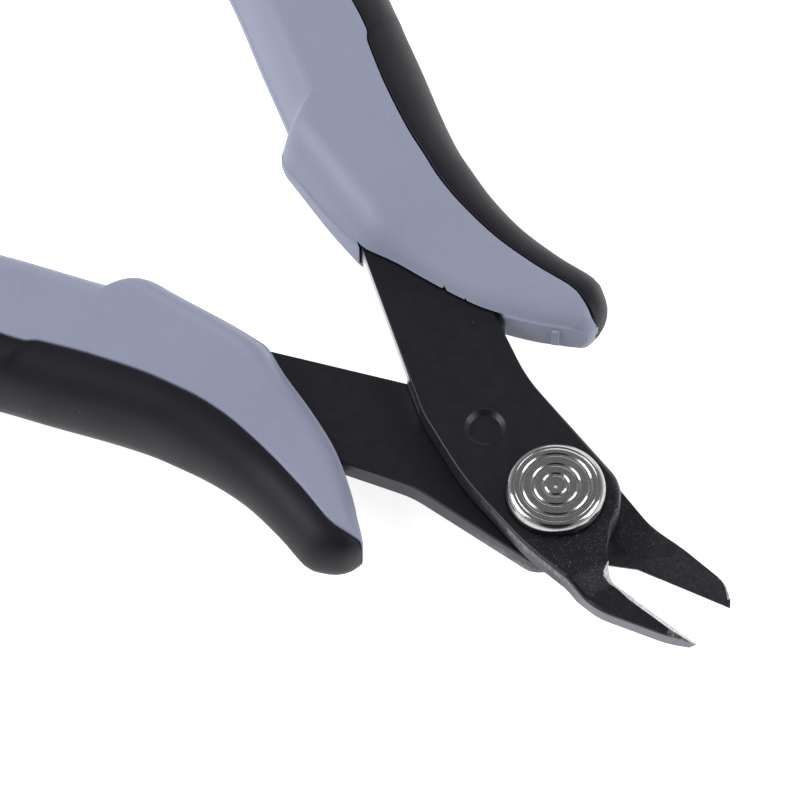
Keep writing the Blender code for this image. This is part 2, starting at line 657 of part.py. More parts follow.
def grip_frame(t, nose):
    """A station's inner point, direction across, width, half thickness, core share, rear rounding and band."""
    inner_x, inner_y, outer_x, outer_y, half, share = (smooth_rail(column, t) for column in zip(*GRIP_RAILS))
    inner = Vector((inner_x, inner_y))
    outer = Vector((outer_x, outer_y))
    sleeve_width = (outer - inner).length * (1 - share)
    towards_nose = min(1.0, max(0.0, (t - MOUTH_ROW) / NOSE_ROWS))
    inner.y -= nose * towards_nose ** 2 * (3 - 2 * towards_nose)
    share = 1 - sleeve_width / (outer - inner).length
    from_rear = (Vector(GRIP_RAILS[0][:2]) - inner).length + SLEEVE_LEAST
    squeeze = math.sqrt(1 - (1 - min(1.0, from_rear / REAR_ROUND)) ** 2)
    middle = (inner + outer) / 2
    inner = middle + (inner - middle) * squeeze
    outer = middle + (outer - middle) * squeeze
    across = (outer - inner).normalized()
    half *= REAR_LEAST + (1 - REAR_LEAST) * squeeze
    frontness = min(1.0, max(0.0, (t - BUMP_ROW) / (MOUTH_ROW - BUMP_ROW)))
    band = (BACK_BAND + (FRONT_BAND - BACK_BAND) * frontness) * squeeze
    return inner, across, (outer - inner).length, half, share, squeeze, min(band, half * BAND_SHARE)


def tongue_at(reach, half, squeeze):
    """The tongue that the sleeve is moulded round: how far it sticks out of the core, and its half height."""
    return TONGUE * min(1.0, reach / TONGUE_REACH) * squeeze, half * TONGUE_HALF


def core_section(t, nose):
    inner, across, width, half, share, squeeze, band = grip_frame(t, nose)
    reach = width * share
    shoulder = min(SHOULDER_W, SHOULDER_SHARE * reach)
    tongue, waist = tongue_at(reach, half, squeeze)
    upper = []
    for step in range(SHOULDER_POINTS + 1):
        turn = math.pi / 2 * step / SHOULDER_POINTS
        upper.append((shoulder * (1 - math.cos(turn)), band + (half - band) * math.sin(turn)))
    upper += [(reach, half), (reach, waist + tongue / 2), (reach + tongue, waist)]
    ring = upper + [(a, -z) for a, z in reversed(upper)]
    return [(inner.x + across.x * a, inner.y + across.y * a, z) for a, z in ring]


def sleeve_section(t, belly_side, nose):
    """The sleeve's section. Its widest point lies a little towards the cutter's back, at belly_side."""
    inner, across, width, half, share, squeeze, _ = grip_frame(t, nose)
    reach = width * share + SEAT
    skin = max(width - reach, SLEEVE_LEAST)
    tongue, waist = tongue_at(width * share, half, squeeze)
    half -= SLEEVE_DROP
    belly = belly_side * SLEEVE_BELLY * half
    waist += SEAT
    upper = [(tongue, waist), (0.0, waist + tongue / 2), (0.0, half)]
    lower = [(a, -z) for a, z in upper]
    for step in range(1, SLEEVE_POINTS):
        turn = math.pi / 2 * step / SLEEVE_POINTS
        upper.append((skin * math.sin(turn), belly + (half - belly) * math.cos(turn)))
        lower.append((skin * math.sin(turn), belly - (half + belly) * math.cos(turn)))
    ring = upper + [(skin, belly)] + lower[::-1]
    return [(inner.x + across.x * (a + reach), inner.y + across.y * (a + reach), z) for a, z in ring]


def tang_slot():
    """The slot that the tang fills."""
    tang = rounded(MOUTH_CORNERS[:1] + TANG_CORNERS + MOUTH_CORNERS[1:])
    return prism(offset(tang, SEAT), -PLATE_T / 2 - SEAT, PLATE_T / 2 + SEAT)


def lip_hollow():
    """The hollow behind the thin lip at the mouth."""
    inner_x, inner_y = list(zip(*GRIP_RAILS))[:2]
    near = [Vector((smooth_rail(inner_x, t), smooth_rail(inner_y, t) + LIP_T)) for t in LIP_ROWS]
    far = [Vector((point.x, point.y + LIP_W)) for point in (near[-1], near[0])]
    return prism(near + far, -PLATE_T / 2 - SEAT, PLATE_T / 2 + SEAT)


def seat_grip(mesh_data, upper):
    """Moves a grip solid, modelled about height 0 on the +Y side, to its place in the stack."""
    side = 1 if upper else -1
    for vert in mesh_data.verts:
        vert.co.y *= side
        vert.co.z = MID_Z + side * (vert.co.z + GRIP_SHIFT)
    return mesh_data


def grip(name, upper, core_finish, sleeve_finish, parent):
    plate_shift = (PLATE_T + SEAT) / 2 - GRIP_SHIFT
    nose = UPPER_NOSE if upper else 0.0
    core = loft([core_section(t, nose) for t in stations()])
    core = to_object(name + "_grip_core", seat_grip(core, upper), core_finish, parent)
    boolean(core, cutter(name + "_tang_slot", seat_grip(lift(tang_slot(), plate_shift), upper)))
    boolean(core, cutter(name + "_lip_hollow", seat_grip(lift(lip_hollow(), plate_shift), upper)))
    belly_side = -1 if upper else 1
    sleeve = loft([sleeve_section(t, belly_side, nose) for t in stations()])
    to_object(name + "_grip_sleeve", seat_grip(sleeve, upper), sleeve_finish, parent)


def build():
    for leftover in list(bpy.data.objects):
        bpy.data.objects.remove(leftover)
    upper_half = bpy.data.objects.new("upper_half", None)
    bpy.context.scene.collection.objects.link(upper_half)
    black_steel = material("black_steel", (0.016, 0.016, 0.018), 0.38, 0.7)
    nickel = material("nickel", (0.62, 0.60, 0.57), 0.18, 1.0)
    spring_steel = material("spring_steel", (0.30, 0.30, 0.31), 0.35, 1.0)
    grey_plastic = material("grey_plastic", (0.29, 0.32, 0.41), 0.45, 0.0)
    black_rubber = material("black_rubber", (0.018, 0.018, 0.021), 0.6, 0.0)
    upper_blade(black_steel, upper_half)
    lower_blade(black_steel, None)
    pivot_rivet(nickel)
    rivet_collar(nickel)
    return_spring(spring_steel)
    grip("upper", True, grey_plastic, black_rubber, upper_half)
    grip("lower", False, grey_plastic, black_rubber, None)


build()
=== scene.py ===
"""Looks of the flush cutter: fine meshes, procedural finishes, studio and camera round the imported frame.

Metres, +Z up, in the frame's own coordinates. The rivet's axis is Z. The jaws point to +X.
"""

import json
import math

import bmesh
import bpy
from mathutils import Matrix, Vector


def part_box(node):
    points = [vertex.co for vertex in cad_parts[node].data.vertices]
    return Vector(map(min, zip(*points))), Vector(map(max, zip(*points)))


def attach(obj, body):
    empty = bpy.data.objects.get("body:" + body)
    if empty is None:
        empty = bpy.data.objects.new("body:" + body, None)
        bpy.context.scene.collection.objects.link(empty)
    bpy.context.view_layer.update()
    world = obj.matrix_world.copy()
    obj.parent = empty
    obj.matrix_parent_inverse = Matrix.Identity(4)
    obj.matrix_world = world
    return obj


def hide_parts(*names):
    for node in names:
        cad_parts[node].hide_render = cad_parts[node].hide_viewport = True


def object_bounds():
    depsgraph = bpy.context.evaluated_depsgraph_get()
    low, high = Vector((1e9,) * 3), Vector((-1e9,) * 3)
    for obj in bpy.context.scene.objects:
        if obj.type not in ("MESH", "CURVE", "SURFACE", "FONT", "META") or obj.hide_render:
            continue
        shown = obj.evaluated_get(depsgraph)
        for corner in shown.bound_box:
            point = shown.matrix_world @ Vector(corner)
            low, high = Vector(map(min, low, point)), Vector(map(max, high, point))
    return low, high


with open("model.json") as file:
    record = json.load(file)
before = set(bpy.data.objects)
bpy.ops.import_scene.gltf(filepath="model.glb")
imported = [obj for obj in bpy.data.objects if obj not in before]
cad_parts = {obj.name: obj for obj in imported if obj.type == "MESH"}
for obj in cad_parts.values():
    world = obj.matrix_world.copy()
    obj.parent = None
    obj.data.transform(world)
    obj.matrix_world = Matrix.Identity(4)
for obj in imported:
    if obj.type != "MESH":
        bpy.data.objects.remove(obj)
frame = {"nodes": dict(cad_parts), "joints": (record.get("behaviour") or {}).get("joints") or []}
cad_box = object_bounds()

MM = 0.001


def in_mm(*rows):
    """Rows of numbers written in millimetres, as metres."""
    return [tuple(value * MM for value in row) for row in rows]


# Places read from the frame
PIVOT_Z = frame["joints"][0]["pos_m"][2]
CLOSING_ANGLE = math.radians(frame["joints"][0]["range_deg"][1])
LOWER_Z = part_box("lower_blade")[0].z
UPPER_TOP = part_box("upper_blade")[1].z
RIVET_LOW, RIVET_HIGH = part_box("pivot_rivet")
COLLAR_LOW, COLLAR_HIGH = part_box("rivet_collar")
PLATE_T = 3.0 * MM
UPPER_Z = UPPER_TOP - PLATE_T
SEAT = UPPER_Z - LOWER_Z - PLATE_T

# The photograph's view: the centre of the rivet's ringed face shows at FACE_PIXEL in an image of 800 x 800
AZIMUTH = math.radians(43.8)
ELEVATION = math.radians(60.0)
VIEW_DISTANCE = 0.7
FOCAL_PIXELS = 6230.0
IMAGE_PIXELS = 800.0
SENSOR = 36.0
FACE_PIXEL = (556.0, 485.3)

# Jaws
CUT_OFFSET = 3.25 * MM
CUT_GAP = 0.1 * MM
UPPER_CUT_ANGLE = math.radians(3.9)
LOWER_CUT_ANGLE = math.radians(18.2)
JAW_REACH = 23.1 * MM
THROAT_REACH = 9.7 * MM
THROAT_R = 4.5 * MM
LOWER_THROAT_BACK = 2.6 * MM
# A bevel's full width, and where and over what length along X it comes in
UPPER_BEVEL = (1.3 * MM, THROAT_REACH + 0.45 * MM, 0.8 * MM)
LOWER_BEVEL = (2.0 * MM, THROAT_REACH - 3.0 * MM, 2.3 * MM)
BEVEL_LAND = 0.15 * MM
# How far its cutter stands off the wall where a bevel has no width
BEVEL_CLEAR = 0.03 * MM
# The height over which the lower bevel leans out by its full width
LEVEL_JAW = 2.0 * MM
TIP_WIDTH = 0.8 * MM
TIP_SLANT = 0.35 * MM
TIP_CHAMFER = 0.4 * MM
TIP_CHAMFER_FROM = 18.0 * MM
JAW_FLUSH = 0.85 * MM
FLUSH_LEAD = 4.0 * MM
FLUSH_START = THROAT_REACH + 3.5 * MM
FLUSH_RUNOUT = 1.2 * MM
UNDERCUT_START = THROAT_REACH - 2.8 * MM
UNDERCUT_FULL = THROAT_REACH + 2.0 * MM
UNDERCUT_W = 2.4 * MM
UNDERCUT_FALL = 2.6 * MM
# A relief's length back from the tip, and its slope
UPPER_RELIEF = (3.0 * MM, 0.36)
LOWER_RELIEF = (8.2 * MM, 0.19)

# Joggle between the lapped plates and the jaws. Its length is the lower blade's, then the upper one's
JOGGLE_START = THROAT_REACH + 0.1 * MM
JOGGLE_LENGTH = (5.4 * MM, 3.4 * MM)
JOGGLE_DROP = (PLATE_T + SEAT) / 2
JOGGLE_TURN = math.radians(20)
JOGGLE_STEPS = 16

# Blade outlines as corners (x, y, radius) with the blade's handle on +Y
TANG_CORNERS = in_mm(
    (-24.0, 13.6, 20), (-36.0, 17.4, 25), (-58.0, 25.0, 30), (-80.0, 31.8, 1.8),
    (-80.0, 27.0, 1.8), (-58.0, 18.8, 25), (-38.0, 8.0, 60), (-18.0, -2.9, 12),
)
BOSS_FRONT = [(THROAT_REACH - 2.1 * MM, 0.7 * MM, 8 * MM), (THROAT_REACH - 3.0 * MM, 3.4 * MM, 4 * MM)]
UPPER_BOSS_BACK = in_mm((4.3, 6.35, 4), (-12.5, 8.65, 20))
LOWER_BOSS_BACK = in_mm((3.2, 7.1, 3), (-13.4, 9.2, 12))
BELLY = in_mm((-9.0, -5.8, 30))
UPPER_JAW_BACK = in_mm((2.0, -7.3, 25), (13.1, -6.95, 8), (20.9, -3.95, 30))
LOWER_JAW_BACK = in_mm((2.5, -7.0, 12), (8.6, -5.85, 25), (13.0, -5.2, 25), (20.6, -5.9, 4))
ARC_STEP = math.radians(4)

# Rolled top edges. The pairs are where and over what length along X a radius changes
EDGE_ROLL = 0.25 * MM
BOSS_ROLL = 1.1 * MM
BOSS_FADE = 5 * MM
SHARP_ROLL = 0.04 * MM
SHARP_FADE = (BOSS_FRONT[0][0] + 0.8 * MM, 2.5 * MM)
TANG_ROLL = 0.08 * MM
JAW_BACK_ROLL = 0.2 * MM
JAW_BACK_FADE = (-4 * MM, 6 * MM)
JAW_BACK_BELOW = -2 * MM
ROLL_STEPS = 4

# The tang's inner edge, which takes the painted reflection, lies behind the first x and under a line
# through (x, y) with a fall
TANG_EDGE_FROM = -22.5 * MM
TANG_EDGE_LINE = (-18 * MM, 4 * MM, 0.45)

# Stop button and dimple
BUTTON_X = -11.5 * MM
BUTTON_Y = 0.6 * MM
BUTTON_R = 1.8 * MM
BUTTON_REACH = 1.0 * MM
DIMPLE_R = 2.3 * MM
DIMPLE_DEPTH = 0.42 * MM
# The width and height of the burr round the dimple
DIMPLE_LIP = (0.10 * MM, 0.045 * MM)

# Spring and its pocket
WIRE_R = 0.4 * MM
LEG_LEAN = math.radians(64)
LOOP_R = 3.5 * MM
OPEN_FROM = math.radians(268)
OPEN_TO = math.radians(180)
POCKET_DEPTH = 1.5 * MM
ANCHOR = Vector((-7.0 * MM, 2.6 * MM))
ANCHOR_DEPTH = 0.9 * MM

# Rivet head
SHANK_R = 2.5 * MM
HEAD_R = RIVET_HIGH.x
HEAD_H = 1.5 * MM
# The rolled rim's width seen from above, and its height
HEAD_RIM = (0.95 * MM, 1.4 * MM)
RING_RADII = [0.235 * HEAD_R, 0.452 * HEAD_R, 0.678 * HEAD_R]
RING_WIDTH = 0.58 * MM
RING_DEPTH = 0.17 * MM
RING_STEPS = 6
RIM_STEPS = 14
# The fine line inside the rim: two distances in from it, and its depth
RIM_LINE = (0.16 * MM, 0.08 * MM, 0.06 * MM)
PUNCH_R = 0.5 * MM

# Grips: rails in plan for a grip on the +Y side, from its rear to its nose.
# Rows in mm: inner x, inner y, outer x, outer y, half thickness. Last is the core's share of the width
GRIP_ROWS = [
    (-112.5, 33.4, -113.5, 43.5, 5.2, 0.556),
    (-104.0, 31.8, -105.0, 44.2, 5.7, 0.56),
    (-90.0, 28.4, -92.0, 43.5, 6.1, 0.586),
    (-75.0, 23.2, -79.0, 41.5, 6.3, 0.633),
    (-64.0, 18.0, -68.0, 38.6, 6.4, 0.677),
    (-57.5, 14.95, -60.8, 35.9, 6.4, 0.693),
    (-55.4, 13.85, -58.2, 34.75, 6.4, 0.698),
    (-54.75, 13.15, -57.2, 34.3, 6.4, 0.701),
    (-54.5, 12.1, -56.7, 34.1, 6.4, 0.702),
    (-54.0, 11.05, -56.1, 33.8, 6.4, 0.701),
    (-52.6, 10.15, -54.8, 33.15, 6.4, 0.701),
    (-49.6, 9.55, -50.2, 31.0, 6.4, 0.681),
    (-44.0, 8.45, -44.0, 27.9, 6.4, 0.676),
    (-40.0, 7.95, -39.5, 25.9, 6.3, 0.683),
    (-37.6, 7.9, -36.2, 24.9, 6.0, 0.673),
    (-33.8, 9.1, -31.8, 23.8, 5.5, 0.655),
    (-28.0, 10.5, -26.5, 23.2, 4.7, 0.64),
    (-22.5, 12.3, -20.8, 23.5, 4.4, 0.61),
    (-17.3, 15.1, -16.2, 24.15, 4.3, 0.533),
    (-15.0, 16.7, -14.4, 23.6, 4.1, 0.455),
    (-13.2, 17.9, -12.9, 22.6, 3.6, 0.319),
    (-12.2, 18.6, -12.1, 21.5, 2.9, 0.166),
    (-11.7, 19.2, -11.7, 20.4, 1.7, 0.08),
]
GRIP_RAILS = [(*(value * MM for value in row), share) for *row, share in GRIP_ROWS]
BUMP_ROW = 10
MOUTH_ROW = 14
UPPER_NOSE = 1.3 * MM
NOSE_ROWS = 5
GRIP_SHIFT = 1.35 * MM
FRONT_BAND = 2.0 * MM
BACK_BAND = 0.8 * MM
BAND_SHARE = 0.55
SHOULDER_W = 5.0 * MM
SHOULDER_SHARE = 0.8
SHOULDER_POINTS = 16
SHOULDER_EDGE = math.radians(24)
FLAT_POINTS = 4
BAND_POINTS = 4
CORNER_ROUND = 0.22 * MM
CORNER_POINTS = 3
SLEEVE_POINTS = 18
SLEEVE_DROP = 0.12 * MM
SLEEVE_BELLY = 0.16
SLEEVE_LEAST = 0.3 * MM
SEAM_GAP = 0.12 * MM
SEAM_ROUND = 0.3 * MM
TONGUE = 1.5 * MM
TONGUE_REACH = 5.0 * MM
TONGUE_HALF = 0.35
REAR_ROUND = 6.5 * MM
REAR_LEAST = 0.35
REAR_STATIONS = [0.0, 0.02, 0.05, 0.09, 0.14, 0.2, 0.28, 0.36, 0.48, 0.6, 0.8]
NOSE_STATIONS = [0.25, 0.5, 0.75, 0.9]
LEDGE = 0.34 * MM
NICKS = in_mm((-27.3, 10.2, 0.56), (-24.5, 10.85, 0.44))
BAR_PLACE = (-14.75 * MM, 15.85 * MM)
BAR_TURN = math.radians(34)
BAR_SIZE = (0.9 * MM, 1.2 * MM, 2.9 * MM)
BAR_ROUND = 0.12 * MM
NICK_SHAPE = [(-1, -1), (0.2, -1.3), (1.1, -0.6), (0.5, 0.7), (-0.4, 1)]
LIP_T = 0.7 * MM
LIP_W = 2.3 * MM
LIP_ROWS = [12.3, 13.0, 13.6, 14.3]
MOUTH_CORNERS = in_mm((-8.0, 9.0, 0), (-8.0, -4.0, 0))
STATION_STEP = 1.1 * MM

CUT_OVER = 2.0 * MM
ROUND_SIDES = 160

# The faint violet of oxide's and rubber's gloss
COOL_GLOSS = (0.92, 0.89, 1.0)

# Room and floor
DARK_ELEVATION = math.radians(35)
DARK_FACING = (0.82, 0.93)
DARK_LEVEL = 0.1
FLOOR_SIZE = 6.0
FLOOR_GLOW = 0.84
# Softboxes: the way to each as shares of right, front and up, then its distance, size and brightness
SOFTBOXES = {
    "left_box": ((-0.85, 0.05, 0.62), 0.55, (0.38, 0.34), 4.0),
    "right_box": ((0.80, 0.15, 0.60), 0.55, (0.32, 0.32), 3.8),
    "rear_box": ((0.25, -0.95, 0.45), 0.60, (0.40, 0.22), 1.6),
}


def clamp(value):
    return min(1.0, max(0.0, value))


class Tree:
    """A short way to write a node tree."""

    def __init__(self, owner):
        owner.use_nodes = True
        self.owner = owner
        self.nodes = owner.node_tree.nodes

    def feed(self, value, target):
        """Links a socket, or sets a plain value. A colour has three numbers."""
        if isinstance(value, bpy.types.NodeSocket):
            self.owner.node_tree.links.new(value, target)
        else:
            target.default_value = (*value, 1.0) if target.type == "RGBA" else value

    def add(self, kind, inputs=None, **values):
        """A new node. Its inputs, by name or number, take plain values or sockets."""
        node = self.nodes.new(kind)
        for key, value in values.items():
            setattr(node, key, value)
        for key, value in (inputs or {}).items():
            self.feed(value, node.inputs[key])
        return node


class Nodes(Tree):
    """The node tree of a new material."""

    def __init__(self, name):
        super().__init__(bpy.data.materials.new(name))
        self.place = self.add("ShaderNodeTexCoord").outputs["Object"]

    def noise(self, size, detail=2.0, rough=0.5, place=None):
        """Noise whose features are about size across."""
        inputs = {"Scale": 1.0 / size, "Detail": detail, "Roughness": rough, "Vector": place or self.place}
        return self.add("ShaderNodeTexNoise", inputs).outputs["Fac"]

    def stretched(self, scale, turn=0.0):
        """The object's coordinates turned about Z and scaled along each axis."""
        inputs = {"Rotation": (0, 0, turn), "Scale": scale, "Vector": self.place}
        return self.add("ShaderNodeMapping", inputs).outputs["Vector"]

    def ramp(self, value, low, high, start=0.0, end=1.0):
        """A smooth step from start to end as value runs from low to high."""
        inputs = {"Value": value, "From Min": low, "From Max": high, "To Min": start, "To Max": end}
        return self.add("ShaderNodeMapRange", inputs, interpolation_type="SMOOTHSTEP").outputs["Result"]

    def math(self, operation, one, two=0.0):
        return self.add("ShaderNodeMath", {0: one, 1: two}, operation=operation).outputs[0]

    def times(self, one, two):
        return self.math("MULTIPLY", one, two)

    def plus(self, one, two):
        return self.math("ADD", one, two)

    def mix(self, share, one, two):
        """A colour between one and two, by the node's colour sockets: inputs 6 and 7, output 2."""
        return self.add("ShaderNodeMix", {0: share, 6: one, 7: two}, data_type="RGBA").outputs[2]

    def axis(self, name):
        return self.add("ShaderNodeSeparateXYZ", {0: self.place}).outputs[name]

    def radius(self):
        """Distance from the rivet's axis."""
        squares = [self.math("POWER", self.axis(name), 2.0) for name in "XY"]
        return self.math("SQRT", self.plus(*squares))

    def specks(self, cell, size, present):
        """Small dots of varied strength seen in plan, one at most per cell, of which a share is present."""
        inputs = {"Scale": 1.0 / cell, "Vector": self.stretched((1.0, 1.0, 0.0))}
        dots = self.add("ShaderNodeTexVoronoi", inputs)
        near = self.ramp(dots.outputs["Distance"], size * 0.6, size, 1.0, 0.0)
        pick = self.add("ShaderNodeSeparateColor", {0: dots.outputs["Color"]}).outputs
        strength = self.times(near, self.ramp(pick[1], 0.0, 1.0, 0.2, 1.0))
        least = 1.0 - present
        return self.times(strength, self.ramp(pick[0], least - 0.02, least))

    def bump(self, height, depth, strength=1.0):
        inputs = {"Distance": depth, "Strength": strength, "Height": height}
        return self.add("ShaderNodeBump", inputs).outputs["Normal"]

    def finish(self, colour, roughness, metallic, normal, ior=1.5, tint=(1.0, 1.0, 1.0)):
        """Sets the shader's main inputs and returns the material."""
        values = {"Base Color": colour, "Roughness": roughness, "Metallic": metallic, "Normal": normal,
                  "IOR": ior, "Specular Tint": tint}
        for name, value in values.items():
            self.feed(value, self.nodes["Principled BSDF"].inputs[name])
        return self.owner


def black_oxide():
    """Blackened steel: nearly black, satin, dusted with fine light specks round the rivet and the jaws."""
    n = Nodes("black_oxide")
    cloud = n.noise(6 * MM, 3.0)
    near_rivet = n.ramp(n.axis("X"), 0.0, 4.0 * MM)
    past_neck = n.ramp(n.axis("X"), 10.5 * MM, 13.0 * MM, 1.0, 0.35)
    dust = n.math("MAXIMUM", n.specks(0.21 * MM, 0.25, 0.5), n.specks(0.14 * MM, 0.30, 0.35))
    dust = n.times(dust, n.ramp(n.noise(1.5 * MM, 2.0), 0.30, 0.55))
    dust = n.times(dust, n.times(near_rivet, past_neck))
    stray = n.specks(2.2 * MM, 0.04, 0.3)
    dust = n.math("MAXIMUM", dust, stray)
    base = n.mix(cloud, (0.0066, 0.0062, 0.0080), (0.0096, 0.0091, 0.0116))
    colour = n.mix(n.times(dust, 0.75), base, (0.36, 0.36, 0.38))
    rough = n.ramp(n.noise(1.2 * MM, 3.0), 0.3, 0.7, 0.30, 0.40)
    grain = n.plus(n.noise(0.09 * MM, 2.0), n.times(dust, 1.5))
    return n.finish(colour, rough, 0.0, n.bump(grain, 0.006 * MM, 0.6), 1.5, COOL_GLOSS)


def sheared_edge(name, torn_at, burnished_at):
    """The blanked edge of a plate: burnished where the punch went in, torn and darker on the other side.

    It is blackened too. Its burnished part is painted lighter towards the front, and along the jaw the
    whole wall is painted much lighter: a painted reflection of the bright room.
    """
    n = Nodes(name)
    streak = n.noise(0.30 * MM, 3.0, 0.65, n.stretched((1.0, 1.0, 0.10)))
    ripple = n.ramp(n.noise(0.8 * MM, 3.0), 0.25, 0.75, -0.5 * MM, 0.5 * MM)
    level = n.plus(n.axis("Z"), ripple)
    burnished = n.ramp(level, torn_at, burnished_at)
    line = n.noise(0.16 * MM, 2.0, 0.5, n.stretched((0.08, 0.08, 1.0)))
    # Painted reflection: along the jaw the wall takes a light colour, standing in for the bright room it
    # reflects
    painted_reflection = n.ramp(n.axis("X"), 6.5 * MM, 12.5 * MM)
    torn = n.mix(streak, (0.004, 0.004, 0.006), (0.030, 0.028, 0.036))
    burnish_base = n.mix(streak, (0.010, 0.009, 0.013), (0.024, 0.023, 0.030))
    burnish_and_reflection = n.mix(n.ramp(streak, 0.3, 0.7), (0.020, 0.019, 0.025), (0.210, 0.204, 0.240))
    # Painted reflection: the burnished band is painted lighter from the rear towards the front
    burnish_and_reflection = n.mix(n.ramp(n.axis("X"), -9.0 * MM, 1.0 * MM), burnish_base, burnish_and_reflection)
    dark = n.mix(burnished, torn, burnish_and_reflection)
    # The light colour of that painted reflection
    bright = n.mix(streak, (0.17, 0.165, 0.19), (0.27, 0.265, 0.30))
    grain = n.plus(n.times(streak, 0.35), n.plus(line, n.noise(0.08 * MM, 2.0)))
    rough = n.ramp(streak, 0.2, 0.8, 0.32, 0.42)
    return n.finish(n.mix(painted_reflection, dark, bright), rough, 0.15, n.bump(grain, 0.012 * MM, 0.6), 1.5, COOL_GLOSS)


def rubbed_edge():
    """The inner edge of a tang as light metal, near white low on the wall: a painted reflection of the
    bright room.
    """
    n = Nodes("rubbed_edge")
    streak = n.noise(0.30 * MM, 3.0, 0.65, n.stretched((1.0, 1.0, 0.10)))
    # Painted reflection: light metal colours, near white low on the wall, stand in for the bright room seen
    # off the edge
    painted_reflection = n.mix(streak, (0.30, 0.30, 0.32), (0.44, 0.44, 0.46))
    top = n.ramp(n.axis("Z"), UPPER_TOP - 1.9 * MM, UPPER_TOP - 1.1 * MM)
    colour = n.mix(top, (0.88, 0.88, 0.89), painted_reflection)
    return n.finish(colour, n.ramp(streak, 0.2, 0.8, 0.24, 0.32), 1.0, n.bump(streak, 0.006 * MM, 0.3))


def ground_steel(name, stained, clean):
    """Fresh grinding: streaked, stained here and there, with dark pits."""
    n = Nodes(name)
    lines = n.noise(0.10 * MM, 3.0, 0.6, n.stretched((1.0, 0.15, 0.15), math.radians(24)))
    stain = n.ramp(n.noise(0.5 * MM, 4.0, 0.7), 0.42, 0.60)
    colour = n.mix(stain, stained, clean)
    pits = n.specks(0.28 * MM, 0.26, 0.3)
    colour = n.mix(n.times(pits, 0.8), colour, (0.08, 0.08, 0.09))
    return n.finish(colour, n.ramp(lines, 0.2, 0.8, 0.34, 0.50), 0.75, n.bump(lines, 0.008 * MM, 0.7))


def dark_ground_steel():
    """A facet ground before blackening: smooth, dark, with mottling."""
    n = Nodes("dark_ground_steel")
    mottle = n.ramp(n.noise(0.45 * MM, 4.0, 0.65), 0.35, 0.7)
    dust = n.times(n.specks(0.26 * MM, 0.24, 0.4), n.ramp(n.noise(1.3 * MM, 2.0), 0.4, 0.6))
    base = n.mix(mottle, (0.017, 0.0165, 0.020), (0.034, 0.033, 0.040))
    colour = n.mix(n.times(dust, 0.45), base, (0.30, 0.30, 0.32))
    return n.finish(colour, 0.36, 0.1, n.bump(mottle, 0.006 * MM, 0.5), 1.5, COOL_GLOSS)


def bright_nickel():
    """The rivet's plating, turned, with fine circular tool marks and handling haze."""
    n = Nodes("bright_nickel")
    around = n.add("ShaderNodeCombineXYZ", {0: n.radius(), 1: n.axis("Z")})
    lines = n.noise(0.07 * MM, 2.0, 0.6, around.outputs[0])
    haze = n.noise(0.5 * MM, 4.0, 0.65)
    soil = n.ramp(n.noise(0.22 * MM, 4.0, 0.75), 0.50, 0.68)
    colour = n.mix(haze, (0.34, 0.34, 0.345), (0.56, 0.56, 0.565))
    colour = n.mix(n.times(soil, 0.45), colour, (0.20, 0.20, 0.205))
    rough = n.ramp(haze, 0.3, 0.75, 0.06, 0.15)
    grain = n.plus(lines, n.times(n.noise(0.12 * MM, 3.0), 1.6))
    return n.finish(colour, rough, 1.0, n.bump(grain, 0.004 * MM, 0.9))


def wire_steel():
    n = Nodes("wire_steel")
    draw = n.noise(0.1 * MM, 3.0)
    colour = n.mix(draw, (0.24, 0.24, 0.25), (0.34, 0.34, 0.35))
    return n.finish(colour, 0.34, 1.0, n.bump(draw, 0.004 * MM, 0.5))


def grey_plastic():
    """Blue-grey hard plastic with a fine eroded skin."""
    n = Nodes("grey_plastic_skin")
    cloud = n.noise(9 * MM, 3.0, 0.55)
    fleck = n.noise(0.5 * MM, 3.0, 0.6)
    base = n.mix(cloud, (0.296, 0.322, 0.440), (0.340, 0.368, 0.492))
    colour = n.mix(n.ramp(fleck, 0.3, 0.75, 0.0, 0.25), base, (0.38, 0.40, 0.52))
    skin = n.plus(n.noise(0.16 * MM, 3.0, 0.6), n.times(n.noise(0.7 * MM, 2.0), 0.6))
    rough = n.ramp(fleck, 0.25, 0.75, 0.40, 0.52)
    return n.finish(colour, rough, 0.0, n.bump(skin, 0.012 * MM, 0.55))


def black_rubber():
    """The soft black sleeve: matt skin with a faint gloss and a few grains of dust."""
    n = Nodes("black_rubber_skin")
    cloud = n.noise(7 * MM, 3.0)
    skin = n.plus(n.noise(0.2 * MM, 4.0, 0.65), n.times(n.noise(0.9 * MM, 2.0), 0.5))
    dust = n.times(n.specks(0.9 * MM, 0.06, 0.4), 0.5)
    base = n.mix(cloud, (0.0040, 0.0037, 0.0055), (0.0070, 0.0066, 0.0092))
    colour = n.mix(dust, base, (0.25, 0.25, 0.26))
    rough = n.ramp(cloud, 0.3, 0.7, 0.46, 0.55)
    return n.finish(colour, rough, 0.0, n.bump(skin, 0.02 * MM, 0.6), 1.4, COOL_GLOSS)


def object_from(name, mesh_data, finishes=()):
    bmesh.ops.recalc_face_normals(mesh_data, faces=mesh_data.faces)
    mesh = bpy.data.meshes.new(name)
    mesh_data.to_mesh(mesh)
    mesh_data.free()
    for finish in finishes:
        mesh.materials.append(finish)
    made = bpy.data.objects.new(name, mesh)
    bpy.context.scene.collection.objects.link(made)
    return made


def boolean(target, name, mesh_data, finish, operation="DIFFERENCE"):
    """Cuts or joins at once. The new faces take the tool's finish."""
    tool = object_from(name, mesh_data, [finish])
    modifier = target.modifiers.new(name, "BOOLEAN")
    modifier.operation = operation
    modifier.solver = "EXACT"
    modifier.material_mode = "TRANSFER"
    modifier.object = tool
    evaluated = target.evaluated_get(bpy.context.evaluated_depsgraph_get())
    cut = bpy.data.meshes.new_from_object(evaluated)
    target.modifiers.remove(modifier)
    target.data = cut
    bpy.data.objects.remove(tool)


